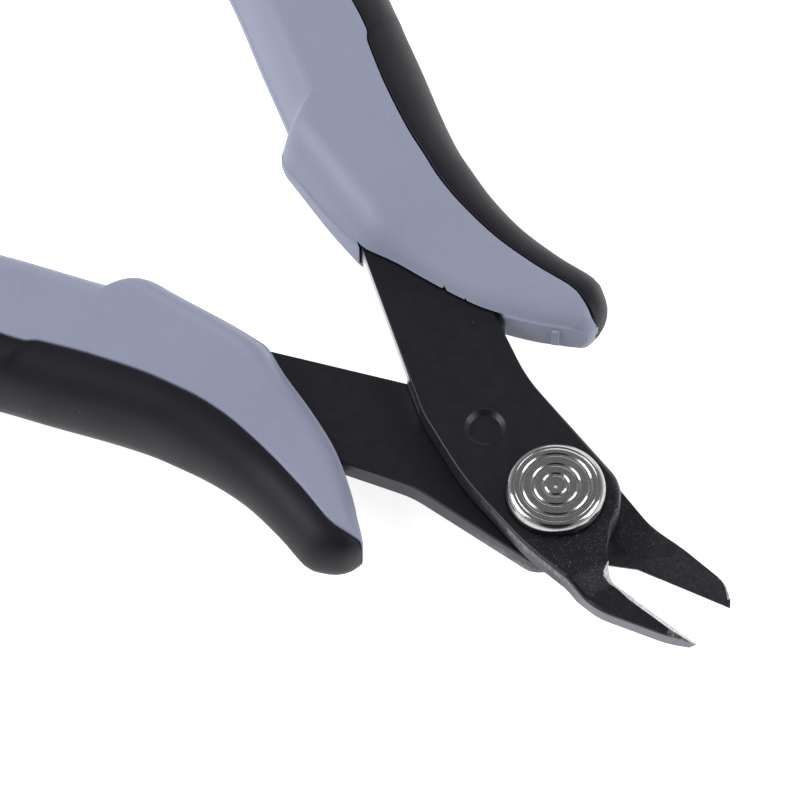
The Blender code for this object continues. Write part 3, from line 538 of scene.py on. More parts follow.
def smooth(piece, angle, weighted=True):
    piece.data.shade_smooth()
    piece.data.set_sharp_from_angle(angle=math.radians(angle))
    if weighted:
        modifier = piece.modifiers.new("even_normals", "WEIGHTED_NORMAL")
        modifier.mode = "FACE_AREA_WITH_ANGLE"
        modifier.keep_sharp = True


def dress(piece, body, slot, *nodes):
    """Places a piece on its body instead of the frame's own solid. The slot is not used."""
    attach(piece, body)
    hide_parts(*nodes)


def arc(centre, radius, start, end, count):
    angles = [start + (end - start) * i / count for i in range(count + 1)]
    return [Vector((centre[0] + radius * math.cos(a), centre[1] + radius * math.sin(a))) for a in angles]


def rounded(corners):
    """A closed outline through corners (x, y, radius), each turned by an arc of its own radius."""
    points = []
    for index, (x, y, radius) in enumerate(corners):
        here = Vector((x, y))
        back = Vector(corners[index - 1][:2]) - here
        ahead = Vector(corners[(index + 1) % len(corners)][:2]) - here
        turn = math.pi - back.angle(ahead)
        if radius <= 0 or turn < 1e-4:
            points.append(here)
            continue
        room = 0.48 * min(back.length, ahead.length)
        tangent = min(radius * math.tan(turn / 2), room)
        radius = tangent / math.tan(turn / 2)
        inwards = (back.normalized() + ahead.normalized()).normalized()
        centre = here + inwards * (radius / math.cos(turn / 2))
        first = here + back.normalized() * tangent - centre
        last = here + ahead.normalized() * tangent - centre
        sweep = first.angle_signed(last)
        count = max(1, math.ceil(abs(sweep) / ARC_STEP))
        for step in range(count + 1):
            spoke = first.copy()
            spoke.rotate(Matrix.Rotation(-sweep * step / count, 2))
            points.append(centre + spoke)
    return points


def outward(points):
    """Each point's outward step for an offset of 1, along the bisector of its corner."""
    area = sum(a.x * b.y - b.x * a.y for a, b in zip(points, points[1:] + points[:1]))
    side = 1 if area > 0 else -1
    steps = []
    for index, here in enumerate(points):
        before = (here - points[index - 1]).normalized()
        after = (points[(index + 1) % len(points)] - here).normalized()
        normal = Vector((before.y + after.y, -before.x - after.x)).normalized() * side
        lean = max(0.5, normal.dot(Vector((before.y, -before.x)) * side))
        steps.append(normal / lean)
    return steps


def with_right_side(path):
    """An open path's points, each with the direction to the right of the way it runs."""
    pairs = []
    for point, before, after in zip(path, path[:1] + path[:-1], path[1:] + path[-1:]):
        heading = (after - before).normalized()
        pairs.append((point, Vector((heading.y, -heading.x))))
    return pairs


def prism(outline, bottom, top):
    made = bmesh.new()
    base = made.faces.new([made.verts.new((p.x, p.y, bottom)) for p in outline])
    pushed = bmesh.ops.extrude_face_region(made, geom=[base])
    verts = [item for item in pushed["geom"] if isinstance(item, bmesh.types.BMVert)]
    bmesh.ops.translate(made, verts=verts, vec=(0, 0, top - bottom))
    return made


def turned(profile, sides=ROUND_SIDES, centre=(0.0, 0.0)):
    """A solid of revolution about Z. A profile point at radius 0 becomes one vertex on the axis."""
    made = bmesh.new()
    rings = []
    for radius, height in profile:
        count = sides if radius > 0 else 1
        spots = [(centre[0] + radius * math.cos(2 * math.pi * i / count),
                  centre[1] + radius * math.sin(2 * math.pi * i / count), height) for i in range(count)]
        rings.append([made.verts.new(spot) for spot in spots])
    closed = profile[0][0] > 0 and profile[-1][0] > 0
    pairs = list(zip(rings, rings[1:])) + ([(rings[-1], rings[0])] if closed else [])
    for one, two in pairs:
        for i in range(sides):
            j = i + 1
            corners = [one[i % len(one)], one[j % len(one)], two[j % len(two)], two[i % len(two)]]
            made.faces.new(list(dict.fromkeys(corners)))
    return made


def loft(sections):
    made = bmesh.new()
    rings = [[made.verts.new(point) for point in section] for section in sections]
    for one, two in zip(rings, rings[1:]):
        for i in range(len(one)):
            j = (i + 1) % len(one)
            made.faces.new((one[i], one[j], two[j], two[i]))
    made.faces.new(rings[0])
    made.faces.new(rings[-1])
    return made


def lift(mesh_data, height):
    bmesh.ops.translate(mesh_data, verts=mesh_data.verts, vec=(0, 0, height))
    return mesh_data


def on_cut_line(angle, along, beside=0.0):
    direction = Vector((math.cos(angle), math.sin(angle)))
    left = Vector((-direction.y, direction.x))
    return direction * along + left * (beside - CUT_OFFSET)


def cut_line(upper):
    """A cutting edge's angle and its distance beside the meeting line, in the upper blade's layout."""
    if upper:
        return UPPER_CUT_ANGLE, -CUT_GAP
    return -LOWER_CUT_ANGLE, 2 * CUT_OFFSET - CUT_GAP


def throat_reach(upper):
    return THROAT_REACH if upper else THROAT_REACH - LOWER_THROAT_BACK


def boss_front(upper):
    return BOSS_FRONT if upper else BOSS_FRONT[1:]


def blade_outline(upper):
    angle, beside = cut_line(upper)
    back = UPPER_JAW_BACK if upper else LOWER_JAW_BACK
    boss_back = UPPER_BOSS_BACK if upper else LOWER_BOSS_BACK
    tip = on_cut_line(angle, JAW_REACH, beside)
    tip_back = on_cut_line(angle, JAW_REACH - TIP_SLANT, beside - TIP_WIDTH)
    throat = on_cut_line(angle, throat_reach(upper), beside)
    corners = boss_back + TANG_CORNERS + BELLY + back
    corners = corners + [(*tip_back, 0.0), (*tip, 0.0), (*throat, THROAT_R)] + boss_front(upper)
    return rounded(corners)


def joggle_height(point, upper):
    """How far the jaw has come to the middle of the stack at a point, from 0 to JOGGLE_DROP."""
    along = point.x * math.cos(JOGGLE_TURN) - point.y * math.sin(JOGGLE_TURN)
    share = clamp((along - JOGGLE_START) / JOGGLE_LENGTH[upper])
    return JOGGLE_DROP * share ** 2 * (3 - 2 * share)


def roll_radius(point, inner, upper):
    """How far the plate's top edge is rolled over: widest at the boss, sharp along the cutting edge."""
    if inner:
        return SHARP_ROLL + (BOSS_ROLL - SHARP_ROLL) * clamp((SHARP_FADE[0] - point.x) / SHARP_FADE[1])
    if inside_tang(point):
        return TANG_ROLL
    if upper and point.y < JAW_BACK_BELOW and point.x > JAW_BACK_FADE[0]:
        return EDGE_ROLL + JAW_BACK_ROLL * clamp((point.x - JAW_BACK_FADE[0]) / JAW_BACK_FADE[1])
    boss = clamp(1 - (point - Vector(UPPER_BOSS_BACK[0][:2])).length / BOSS_FADE)
    return EDGE_ROLL + (BOSS_ROLL - EDGE_ROLL) * boss


def inside_tang(point):
    """Whether an outline point lies on the inner edge of the tang, in the upper blade's layout."""
    x, y, fall = TANG_EDGE_LINE
    return TANG_CORNERS[4][0] < point.x < TANG_EDGE_FROM and point.y < y - fall * (point.x - x)


def plate(upper, wall_slot, tang_edge_slot):
    """A blanked plate with rolled top edges and its jaw joggled down, in the upper blade's layout."""
    outline = blade_outline(upper)
    steps = outward(outline)
    angle, beside = cut_line(upper)
    left = Vector((-math.sin(angle), math.cos(angle)))
    line = on_cut_line(angle, 0.0, beside).dot(left)
    rolls = []
    for point in outline:
        inner = point.x > BOSS_FRONT[1][0] and point.dot(left) > line - CUT_GAP / 2
        rolls.append(roll_radius(point, inner, upper))
    made = bmesh.new()

    def ring(turn, top):
        spots = []
        for point, step, roll in zip(outline, steps, rolls):
            size = roll if top else min(roll, EDGE_ROLL)
            spot = point - step * size * (1 - math.cos(turn))
            drop = size * (1 - math.sin(turn))
            spots.append(made.verts.new((spot.x, spot.y, PLATE_T - drop if top else drop)))
        return spots

    turns = [math.pi / 2 * i / ROLL_STEPS for i in range(ROLL_STEPS + 1)]
    rings = [ring(turn, False) for turn in reversed(turns)] + [ring(turn, True) for turn in turns]
    for index, (one, two) in enumerate(zip(rings, rings[1:])):
        for i in range(len(one)):
            j = (i + 1) % len(one)
            face = made.faces.new((one[i], one[j], two[j], two[i]))
            if index == ROLL_STEPS:
                # Faces on the tang's inner edge take the finish with the painted reflection
                tang_edge = inside_tang((outline[i] + outline[j]) / 2)
                face.material_index = tang_edge_slot if tang_edge else wall_slot
    made.faces.new(rings[0])
    made.faces.new(rings[-1])
    across = Vector((math.cos(JOGGLE_TURN), -math.sin(JOGGLE_TURN), 0))
    for step in range(JOGGLE_STEPS + 1):
        place = across * (JOGGLE_START + JOGGLE_LENGTH[upper] * step / JOGGLE_STEPS)
        everything = made.verts[:] + made.edges[:] + made.faces[:]
        bmesh.ops.bisect_plane(made, geom=everything, plane_co=place, plane_no=across, dist=1e-7)
    for vert in made.verts:
        vert.co.z -= joggle_height(vert.co, upper)
    return made


def flush_level(upper):
    """The height of a jaw's flush side over the blank's underside."""
    return JAW_FLUSH + JOGGLE_DROP * (-1 if upper else 1)


def jaw_floor(point, upper):
    """The jaw's underside by its cutting edge, over the blank's own underside."""
    if upper:
        return max(-joggle_height(point, True), flush_level(True))
    along = point.x * math.cos(LOWER_CUT_ANGLE) - point.y * math.sin(LOWER_CUT_ANGLE)
    share = clamp((along - UNDERCUT_START) / (UNDERCUT_FULL - UNDERCUT_START))
    return flush_level(False) * share


def jaw_ceiling(point, upper):
    return PLATE_T + joggle_height(point, upper) * (-1 if upper else 1)


def mirrored_plan(mesh_data, upper):
    for vert in mesh_data.verts:
        vert.co.y *= 1 if upper else -1
    return mesh_data


def flip_to_lower(mesh_data):
    for vert in mesh_data.verts:
        vert.co.y = -vert.co.y
        vert.co.z = PLATE_T - vert.co.z
    return mesh_data


def bevel_cutter(upper):
    """The ground bevel: from beyond the tip along the cutting edge, round the throat, out at the boss."""
    angle, beside = cut_line(upper)
    start = on_cut_line(angle, JAW_REACH + CUT_OVER, beside)
    level_end = on_cut_line(angle, FLUSH_START + FLUSH_RUNOUT + BEVEL_LAND / 2, beside)
    throat = on_cut_line(angle, throat_reach(upper), beside)
    boss = boss_front(upper)
    corners = rounded([(*start, 0.0), (*throat, THROAT_R)] + boss[:-1] + [(*boss[-1][:2], 0.0)])
    straight = [corners[0], level_end]
    if not upper:
        turns = (UNDERCUT_FULL, JOGGLE_START - EDGE_ROLL)
        straight += [on_cut_line(angle, along, beside) for along in turns]
    path = straight + [(a + b) / 2 for a, b in zip(corners[1:], corners[2:])] + [corners[-1]]
    full, fade_start, fade_length = UPPER_BEVEL if upper else LOWER_BEVEL
    sections = []
    for index, (point, out) in enumerate(with_right_side(path)):
        fade = clamp((point.x - fade_start) / fade_length)
        width = (full + BEVEL_CLEAR) * fade - BEVEL_CLEAR if index < len(path) - 1 else -EDGE_ROLL
        low = jaw_floor(point, upper) + BEVEL_LAND
        high = jaw_ceiling(point - out * max(0.0, 0.6 * width), upper)
        over = CUT_OVER / 2
        lean = width / (high - low) if upper or width < 0 else width / LEVEL_JAW
        foot = point + out * lean * over
        back = point - out * lean * (high + over - low)
        front = point + out * over
        sections.append([(foot.x, foot.y, low - over), (back.x, back.y, high + over),
                         (front.x, front.y, high + over), (front.x, front.y, low - over)])
    return mirrored_plan(loft(sections), upper)


def side_profile_cutter(profile, upper, width=4 * CUT_OVER, fall=0.0):
    """A cutter with one section across the jaw, as points (distance along the cutting edge, height).

    It reaches width into the jaw from the cutting edge, and lies lower there by fall.
    """
    angle, beside = cut_line(upper)
    sections = []
    for edge, drop in ((beside - width, fall), (beside + CUT_GAP / 2, 0.0), (beside + CUT_OVER, 0.0)):
        spots = [on_cut_line(angle, along, edge) for along, _ in profile]
        sections.append([(spot.x, spot.y, height - drop) for spot, (_, height) in zip(spots, profile)])
    return mirrored_plan(loft(sections), upper)


def tip_chamfer_cutter():
    """The narrow chamfer ground on the lower jaw's back beside its tip."""
    angle, beside = cut_line(False)
    tip_back = on_cut_line(angle, JAW_REACH - TIP_SLANT, beside - TIP_WIDTH)
    path = [p for p in blade_outline(False) if p.x > TIP_CHAMFER_FROM and p.y <= tip_back.y + 0.01 * MM]
    path = [path[0] - (path[1] - path[0])] + path
    sections = []
    for index, (point, out) in enumerate(with_right_side(path)):
        near = point - out * (TIP_CHAMFER if index else 0.0)
        far = point + out * 2 * TIP_CHAMFER
        slope = PLATE_T + JOGGLE_DROP - LOWER_RELIEF[1] * max(0.0, point.x - (JAW_REACH - LOWER_RELIEF[0]))
        sections.append([(near.x, near.y, slope), (near.x, near.y, slope + CUT_OVER),
                         (far.x, far.y, slope + CUT_OVER), (far.x, far.y, slope - 1.4 * TIP_CHAMFER)])
    return mirrored_plan(loft(sections), False)


def tip_relief_cutter(upper):
    length, slope = UPPER_RELIEF if upper else LOWER_RELIEF
    top = PLATE_T + JOGGLE_DROP * (-1 if upper else 1)
    ends = (JAW_REACH - length - CUT_OVER, JAW_REACH + CUT_OVER)
    profile = [(along, top + slope * (JAW_REACH - length - along)) for along in ends]
    profile += [(ends[1], top + 2 * CUT_OVER), (ends[0], top + 2 * CUT_OVER)]
    return side_profile_cutter(profile, upper)


def flush_cutter(upper):
    """What is ground off under the jaw, so that both jaws are flush at one height."""
    level = flush_level(upper)
    end = JAW_REACH + CUT_OVER
    profile = [(end, level), (end, level - 2 * CUT_OVER)]
    if upper:
        start = JOGGLE_START - FLUSH_LEAD
        profile += [(start, level - CUT_OVER), (start, level)]
    else:
        profile += [(FLUSH_START - FLUSH_RUNOUT, level - 2 * CUT_OVER), (FLUSH_START + FLUSH_RUNOUT, level)]
    return side_profile_cutter(profile, upper)


def undercut_cutter():
    """What is ground off under the lower blade's edge where it rises to the flush height."""
    level = flush_level(False)
    end = FLUSH_START + FLUSH_RUNOUT
    profile = [(UNDERCUT_START, 0.0), (UNDERCUT_FULL, level), (end, level)]
    profile += [(end, -2 * CUT_OVER), (UNDERCUT_START, -2 * CUT_OVER)]
    return side_profile_cutter(profile, False, UNDERCUT_W, UNDERCUT_FALL)


def grind_and_bore(blade, upper, height, finishes):
    oxide, ground, facet, dark_ground = finishes
    boolean(blade, "flush", lift(flush_cutter(upper), height), dark_ground)
    if not upper:
        boolean(blade, "undercut", lift(undercut_cutter(), height), dark_ground)
    boolean(blade, "bevel", lift(bevel_cutter(upper), height), ground if upper else dark_ground)
    boolean(blade, "relief", lift(tip_relief_cutter(upper), height), facet)
    if not upper:
        boolean(blade, "chamfer", lift(tip_chamfer_cutter(), height), ground)
    bore = turned([(0, -CUT_OVER), (SHANK_R + SEAT, -CUT_OVER), (SHANK_R + SEAT, PLATE_T + CUT_OVER),
                   (0, PLATE_T + CUT_OVER)], 64)
    boolean(blade, "bore", lift(bore, height), oxide)


def upper_blade(oxide, tang_edge, ground, facet, dark_ground):
    wall = sheared_edge("upper_sheared_edge", UPPER_Z + 1.2 * MM, UPPER_Z + 2.0 * MM)
    blade = object_from("upper_blade_steel", lift(plate(True, 1, 2), UPPER_Z), [oxide, wall, tang_edge])
    grind_and_bore(blade, True, UPPER_Z, (oxide, ground, facet, dark_ground))
    spot = (BUTTON_X, BUTTON_Y)
    button = turned([(0, -SEAT - BUTTON_REACH), (BUTTON_R, -SEAT - BUTTON_REACH), (BUTTON_R, PLATE_T / 3),
                     (0, PLATE_T / 3)], 48, spot)
    boolean(blade, "button", lift(button, UPPER_Z), oxide, "UNION")
    lip, rise = DIMPLE_LIP
    burr = [(-1.0, -lip), (2.5, -lip), (2.5, 0.0), (1.2, rise), (0.3, rise), (-1.0, 0.0)]
    burr = [(DIMPLE_R + lips * lip, PLATE_T + height) for lips, height in burr]
    boolean(blade, "burr", lift(turned(burr, 96, spot), UPPER_Z), oxide, "UNION")
    lean = (DIMPLE_R - BUTTON_R) / DIMPLE_DEPTH
    dimple = [(0, PLATE_T - DIMPLE_DEPTH), (BUTTON_R, PLATE_T - DIMPLE_DEPTH)]
    dimple += [(DIMPLE_R - lip * lean, PLATE_T - lip), (DIMPLE_R + lip * lean, PLATE_T + lip),
               (DIMPLE_R + lip * lean, PLATE_T + CUT_OVER), (0, PLATE_T + CUT_OVER)]
    boolean(blade, "dimple", lift(turned(dimple, 96, spot), UPPER_Z), oxide)
    smooth(blade, 28)
    dress(blade, "upper_half", "black_steel", "upper_blade")


def leg_tip():
    reach = BUTTON_R + SEAT + WIRE_R
    return Vector((BUTTON_X + reach * math.cos(LEG_LEAN), BUTTON_Y - reach * math.sin(LEG_LEAN)))


def pocket_cutters():
    """The coined pocket: round the loop, along both legs, and a slot that the stop button runs in.

    They are cut one by one, as they overlap.
    """
    floor = PLATE_T - POCKET_DEPTH
    top = PLATE_T + CUT_OVER
    room = WIRE_R + SEAT
    made = [turned([(0, floor), (LOOP_R + room, floor), (LOOP_R + room, top), (0, top)], 64)]
    track = math.hypot(BUTTON_X, BUTTON_Y)
    start = math.atan2(BUTTON_Y, BUTTON_X)
    half = BUTTON_R + SEAT
    end = start + CLOSING_ANGLE + SEAT / track
    slot = arc((0, 0), track + half, start, end, 12)
    slot += arc((track * math.cos(end), track * math.sin(end)), half, end, end + math.pi, 16)[1:-1]
    slot += arc((0, 0), track - half, end, start, 12)
    slot += arc((BUTTON_X, BUTTON_Y), half, start + math.pi, start + 2 * math.pi, 16)[1:-1]
    made.append(prism(slot, floor, top))
    tip = leg_tip()
    first = math.atan2(tip.y, tip.x) - room / tip.length
    last = math.atan2(tip.y, tip.x) + CLOSING_ANGLE + 2 * math.pi + room / tip.length
    sweep = arc((0, 0), tip.length + room, first + 2 * math.pi, last, 10)
    sweep += arc((0, 0), LOOP_R + room / 2, OPEN_FROM, OPEN_TO, 10)
    made.append(prism(sweep, floor, top))
    heading = math.atan2(ANCHOR.y, ANCHOR.x)
    leave = heading - math.acos(LOOP_R / ANCHOR.length)
    root = Vector((LOOP_R * math.cos(leave), LOOP_R * math.sin(leave)))
    along = math.atan2(ANCHOR.y - root.y, ANCHOR.x - root.x)
    channel = arc(ANCHOR, room, along - math.pi / 2, along + math.pi / 2, 12)
    channel += arc(root, room, along + math.pi / 2, along + 3 * math.pi / 2, 12)
    made.append(prism(channel, floor, top))
    hole, deep, shallow = 0.85 * room, floor - ANCHOR_DEPTH, floor + SEAT
    made.append(turned([(0, deep), (hole, deep), (hole, shallow), (0, shallow)], 24, ANCHOR))
    return made


def lower_blade(oxide, tang_edge, ground, dark_ground):
    wall = sheared_edge("lower_sheared_edge", LOWER_Z + 1.9 * MM, LOWER_Z + 1.1 * MM)
    plan = lift(flip_to_lower(plate(False, 1, 2)), LOWER_Z)
    blade = object_from("lower_blade_steel", plan, [oxide, wall, tang_edge])
    grind_and_bore(blade, False, LOWER_Z, (oxide, ground, dark_ground, dark_ground))
    for tool in pocket_cutters():
        boolean(blade, "pocket", lift(tool, LOWER_Z), oxide)
    smooth(blade, 28)
    dress(blade, "lower_half", "black_steel", "lower_blade")


def rivet(finish):
    """The rivet as turned: a rolled rim, a fine line inside it, three round ring grooves, a punch mark."""
    top = RIVET_HIGH.z
    low = top - HEAD_H
    profile = [(0, top - RING_DEPTH), (0.2 * PUNCH_R, top - 0.9 * RING_DEPTH)]
    profile += [(0.9 * PUNCH_R, top - 0.1 * RING_DEPTH), (1.2 * PUNCH_R, top)]
    for radius in RING_RADII:
        for step in range(-RING_STEPS, RING_STEPS + 1):
            share = step / RING_STEPS
            depth = RING_DEPTH * (0.5 + 0.5 * math.cos(math.pi * share))
            profile.append((radius + share * RING_WIDTH / 2, top - depth))
    rim = HEAD_R - HEAD_RIM[0]
    profile += [(rim - RIM_LINE[0], top), (rim - RIM_LINE[1], top - RIM_LINE[2])]
    for step in range(RIM_STEPS + 1):
        turn = math.pi / 2 * (1 - step / RIM_STEPS)
        inset = HEAD_RIM[0] * (1 - math.cos(turn))
        profile.append((HEAD_R - inset, top - HEAD_RIM[1] * (1 - math.sin(turn))))
    foot = 0.25 * MM
    profile += [(HEAD_R - 0.3 * foot, low + 0.3 * foot), (HEAD_R - foot, low), (SHANK_R, low)]
    profile += [(SHANK_R, foot), (SHANK_R - foot, 0), (0, 0)]
    made = object_from("ringed_rivet", turned(profile), [finish])
    smooth(made, 50, False)
    dress(made, "lower_half", "nickel", "pivot_rivet")


def collar(finish):
    inner = SHANK_R + SEAT
    outer = COLLAR_HIGH.x
    edge = 0.35 * MM
    profile = [(inner, 0), (outer - edge, 0), (outer - 0.3 * edge, 0.3 * edge), (outer, edge),
               (outer, COLLAR_HIGH.z), (inner, COLLAR_HIGH.z)]
    made = object_from("turned_collar", turned(profile, 96), [finish])
    smooth(made, 40, False)
    dress(made, "lower_half", "nickel", "rivet_collar")


def smooth_rail(values, t):
    last = len(values) - 1
    i = min(last - 1, max(0, int(t)))
    a, b, c, d = values[max(0, i - 1)], values[i], values[i + 1], values[min(last, i + 2)]
    u = t - i
    cubic = 3 * b - a - 3 * c + d
    return 0.5 * (2 * b + (c - a) * u + (2 * a - 5 * b + 4 * c - d) * u ** 2 + cubic * u ** 3)


def stations():
    """Row positions along the grip, about STATION_STEP apart."""
    columns = list(zip(*GRIP_RAILS))
    spots = list(REAR_STATIONS)
    for row in range(1, len(GRIP_RAILS) - 1):
        gap = math.hypot(columns[2][row + 1] - columns[2][row], columns[3][row + 1] - columns[3][row])
        count = max(2, round(gap / STATION_STEP))
        spots += [row + i / count for i in range(count)]
    last = len(GRIP_RAILS) - 1
    return spots + [last - 0.5 + share / 2 for share in NOSE_STATIONS] + [float(last)]


def grip_frame(t, nose):
    """A station's inner point, direction across, width, half thickness, core share, squeeze and band."""
    *corners, half, share = (smooth_rail(column, t) for column in zip(*GRIP_RAILS))
    inner, outer = Vector(corners[:2]), Vector(corners[2:])
    sleeve_width = (outer - inner).length * (1 - share)
    towards_nose = clamp((t - MOUTH_ROW) / NOSE_ROWS)
    inner.y -= nose * towards_nose ** 2 * (3 - 2 * towards_nose)
    share = 1 - sleeve_width / (outer - inner).length
    from_rear = (Vector(GRIP_RAILS[0][:2]) - inner).length + SLEEVE_LEAST
    squeeze = math.sqrt(1 - (1 - min(1.0, from_rear / REAR_ROUND)) ** 2)
    middle = (inner + outer) / 2
    inner = middle + (inner - middle) * squeeze
    outer = middle + (outer - middle) * squeeze
    across = (outer - inner).normalized()
    half *= REAR_LEAST + (1 - REAR_LEAST) * squeeze
    frontness = clamp((t - BUMP_ROW) / (MOUTH_ROW - BUMP_ROW))
    band = (BACK_BAND + (FRONT_BAND - BACK_BAND) * frontness) * squeeze
    return inner, across, (outer - inner).length, half, share, squeeze, min(band, half * BAND_SHARE)


def tongue_at(reach, half, squeeze):
    return TONGUE * min(1.0, reach / TONGUE_REACH) * squeeze, half * TONGUE_HALF


def corner_arc(a, z, radius, start, end):
    """A small arc that ends at its turns' points, centred inside the corner."""
    turns = [start + (end - start) * i / CORNER_POINTS for i in range(CORNER_POINTS + 1)]
    return [(a + radius * math.cos(turn), z + radius * math.sin(turn)) for turn in turns]


def core_section(t, nose):
    inner, across, width, half, share, squeeze, band = grip_frame(t, nose)
    reach = width * share
    shoulder = min(SHOULDER_W, SHOULDER_SHARE * reach)
    tongue, waist = tongue_at(reach, half, squeeze)
    small = min(CORNER_ROUND, band * 0.4, reach * 0.12)
    seam = min(SEAM_ROUND, reach * 0.15, half * 0.3)
    upper = [(0.0, (band - small) * i / BAND_POINTS) for i in range(1, BAND_POINTS)]
    low_sine, low_cosine = math.sin(SHOULDER_EDGE), math.cos(SHOULDER_EDGE)
    curve = []
    for step in range(SHOULDER_POINTS + 1):
        turn = SHOULDER_EDGE + (math.pi / 2 - SHOULDER_EDGE) * step / SHOULDER_POINTS
        curve.append((shoulder * (low_cosine - math.cos(turn)) / low_cosine,
                      band + (half - band) * (math.sin(turn) - low_sine) / (1 - low_sine)))
    ledge = min(LEDGE, band * 0.3, reach * 0.1)
    upper += [(0.0, band - small), (0.15 * small, band - 0.3 * small), (0.5 * small, band)]
    upper += [(ledge * 0.7, band + 0.1 * small)]
    upper += [(a + ledge * (1 - a / shoulder), z) for a, z in curve[1:]]
    upper += [(shoulder + (reach - seam - shoulder) * i / FLAT_POINTS, half) for i in range(1, FLAT_POINTS)]
    upper += corner_arc(reach - seam, half - seam, seam, math.pi / 2, 0.0)
    upper += [(reach, waist + tongue / 2), (reach + tongue, waist)]
    ring = [(0.0, 0.0)] + upper + [(a, -z) for a, z in reversed(upper)]
    return [(inner.x + across.x * a, inner.y + across.y * a, z) for a, z in ring]


def sleeve_section(t, belly_side, nose):
    inner, across, width, half, share, squeeze, _ = grip_frame(t, nose)
    reach = width * share + SEAM_GAP
    skin = max(width - reach, SLEEVE_LEAST)
    tongue, waist = tongue_at(width * share, half, squeeze)
    half -= SLEEVE_DROP
    belly = belly_side * SLEEVE_BELLY * half
    waist += SEAM_GAP
    seam = min(SEAM_ROUND, skin * 0.3, half * 0.3)
    upper = [(tongue, waist), (0.0, waist + tongue / 2), (0.0, half - 2 * seam)]
    upper += corner_arc(seam, half - seam, seam, math.pi, math.pi / 2 + 0.2)
    lower = [(a, -z) for a, z in upper]
    least = math.asin(min(0.9, 1.4 * seam / skin))
    for step in range(SLEEVE_POINTS):
        turn = least + (math.pi / 2 - least) * step / SLEEVE_POINTS
        upper.append((skin * math.sin(turn), belly + (half - belly) * math.cos(turn)))
        lower.append((skin * math.sin(turn), belly - (half + belly) * math.cos(turn)))
    ring = upper + [(skin, belly)] + lower[::-1]
    return [(inner.x + across.x * (a + reach), inner.y + across.y * (a + reach), z) for a, z in ring]


def tang_slot():
    tang = rounded(MOUTH_CORNERS[:1] + TANG_CORNERS + MOUTH_CORNERS[1:])
    steps = outward(tang)
    outline = [point + step * SEAT for point, step in zip(tang, steps)]
    return prism(outline, -PLATE_T / 2 - SEAT, PLATE_T / 2 + SEAT)


def lip_hollow():
    inner_x, inner_y = list(zip(*GRIP_RAILS))[:2]
    near = [Vector((smooth_rail(inner_x, t), smooth_rail(inner_y, t) + LIP_T)) for t in LIP_ROWS]
    far = [Vector((point.x, point.y + LIP_W)) for point in (near[-1], near[0])]
    return prism(near + far, -PLATE_T / 2 - SEAT, PLATE_T / 2 + SEAT)


def seat_grip(mesh_data, upper):
    side = 1 if upper else -1
    for vert in mesh_data.verts:
        vert.co.y *= side
        vert.co.z = PIVOT_Z + side * (vert.co.z + GRIP_SHIFT)
    return mesh_data


def nick(spot):
    """A small tear in the flash where the core meets the blade."""
    x, y, size = spot
    outline = [Vector((x + size * a, y + size * b)) for a, b in NICK_SHAPE]
    return prism(outline, UPPER_TOP - size, UPPER_TOP + 2 * size)


def nose_bar():
    """The plain raised bar on the upper core's nose."""
    made = bmesh.new()
    place = Matrix.Translation((*BAR_PLACE, PIVOT_Z + GRIP_SHIFT)) @ Matrix.Rotation(BAR_TURN, 4, "Z")
    bmesh.ops.create_cube(made, size=1.0, matrix=place @ Matrix.Diagonal((*BAR_SIZE, 1.0)))
    bmesh.ops.bevel(made, geom=made.edges[:], offset=BAR_ROUND, segments=3, profile=0.5, affect="EDGES")
    return made


def grip(name, upper, plastic, rubber):
    body = name + "_half"
    plate_shift = (PLATE_T + SEAT) / 2 - GRIP_SHIFT
    nose = UPPER_NOSE if upper else 0.0
    spots = stations()
    core = loft([core_section(t, nose) for t in spots])
    core = object_from(name + "_core_shell", seat_grip(core, upper), [plastic])
    boolean(core, "slot", seat_grip(lift(tang_slot(), plate_shift), upper), plastic)
    boolean(core, "hollow", seat_grip(lift(lip_hollow(), plate_shift), upper), plastic)
    if upper:
        for spot in NICKS:
            boolean(core, "nick", nick(spot), plastic)
        boolean(core, "bar", nose_bar(), plastic, "UNION")
    smooth(core, 40, False)
    dress(core, body, "grey_plastic", name + "_grip_core")
    belly_side = -1 if upper else 1
    skin = seat_grip(loft([sleeve_section(t, belly_side, nose) for t in spots]), upper)
    sleeve = object_from(name + "_sleeve_skin", skin, [rubber])
    smooth(sleeve, 50, False)
    dress(sleeve, body, "black_rubber", name + "_grip_sleeve")


def finish_spring(finish):
    """The spring keeps the frame's solid, hidden in its pocket."""
    spring = frame["nodes"]["return_spring"]
    for slot in spring.material_slots:
        slot.material = finish


def view_axes():
    sine, cosine = math.sin(AZIMUTH), math.cos(AZIMUTH)
    back = Vector((sine * math.cos(ELEVATION), -cosine * math.cos(ELEVATION), math.sin(ELEVATION)))
    right = Vector((cosine, sine, 0))
    return right, back.cross(right), back


def camera():
    right, up, back = view_axes()
    per_pixel = VIEW_DISTANCE / FOCAL_PIXELS
    centre = IMAGE_PIXELS / 2
    face = Vector((0, 0, RIVET_HIGH.z - 0.2 * MM))
    data = bpy.data.cameras.new("photo_view")
    data.lens = FOCAL_PIXELS / IMAGE_PIXELS * SENSOR
    data.sensor_width = SENSOR
    data.clip_start = 0.01
    made = bpy.data.objects.new("photo_view", data)
    made.matrix_world = Matrix.Translation(
        face + back * VIEW_DISTANCE
        - right * (FACE_PIXEL[0] - centre) * per_pixel
        + up * (FACE_PIXEL[1] - centre) * per_pixel
    ) @ Matrix((right, up, back)).transposed().to_4x4()
    bpy.context.scene.collection.objects.link(made)
    bpy.context.scene.camera = made


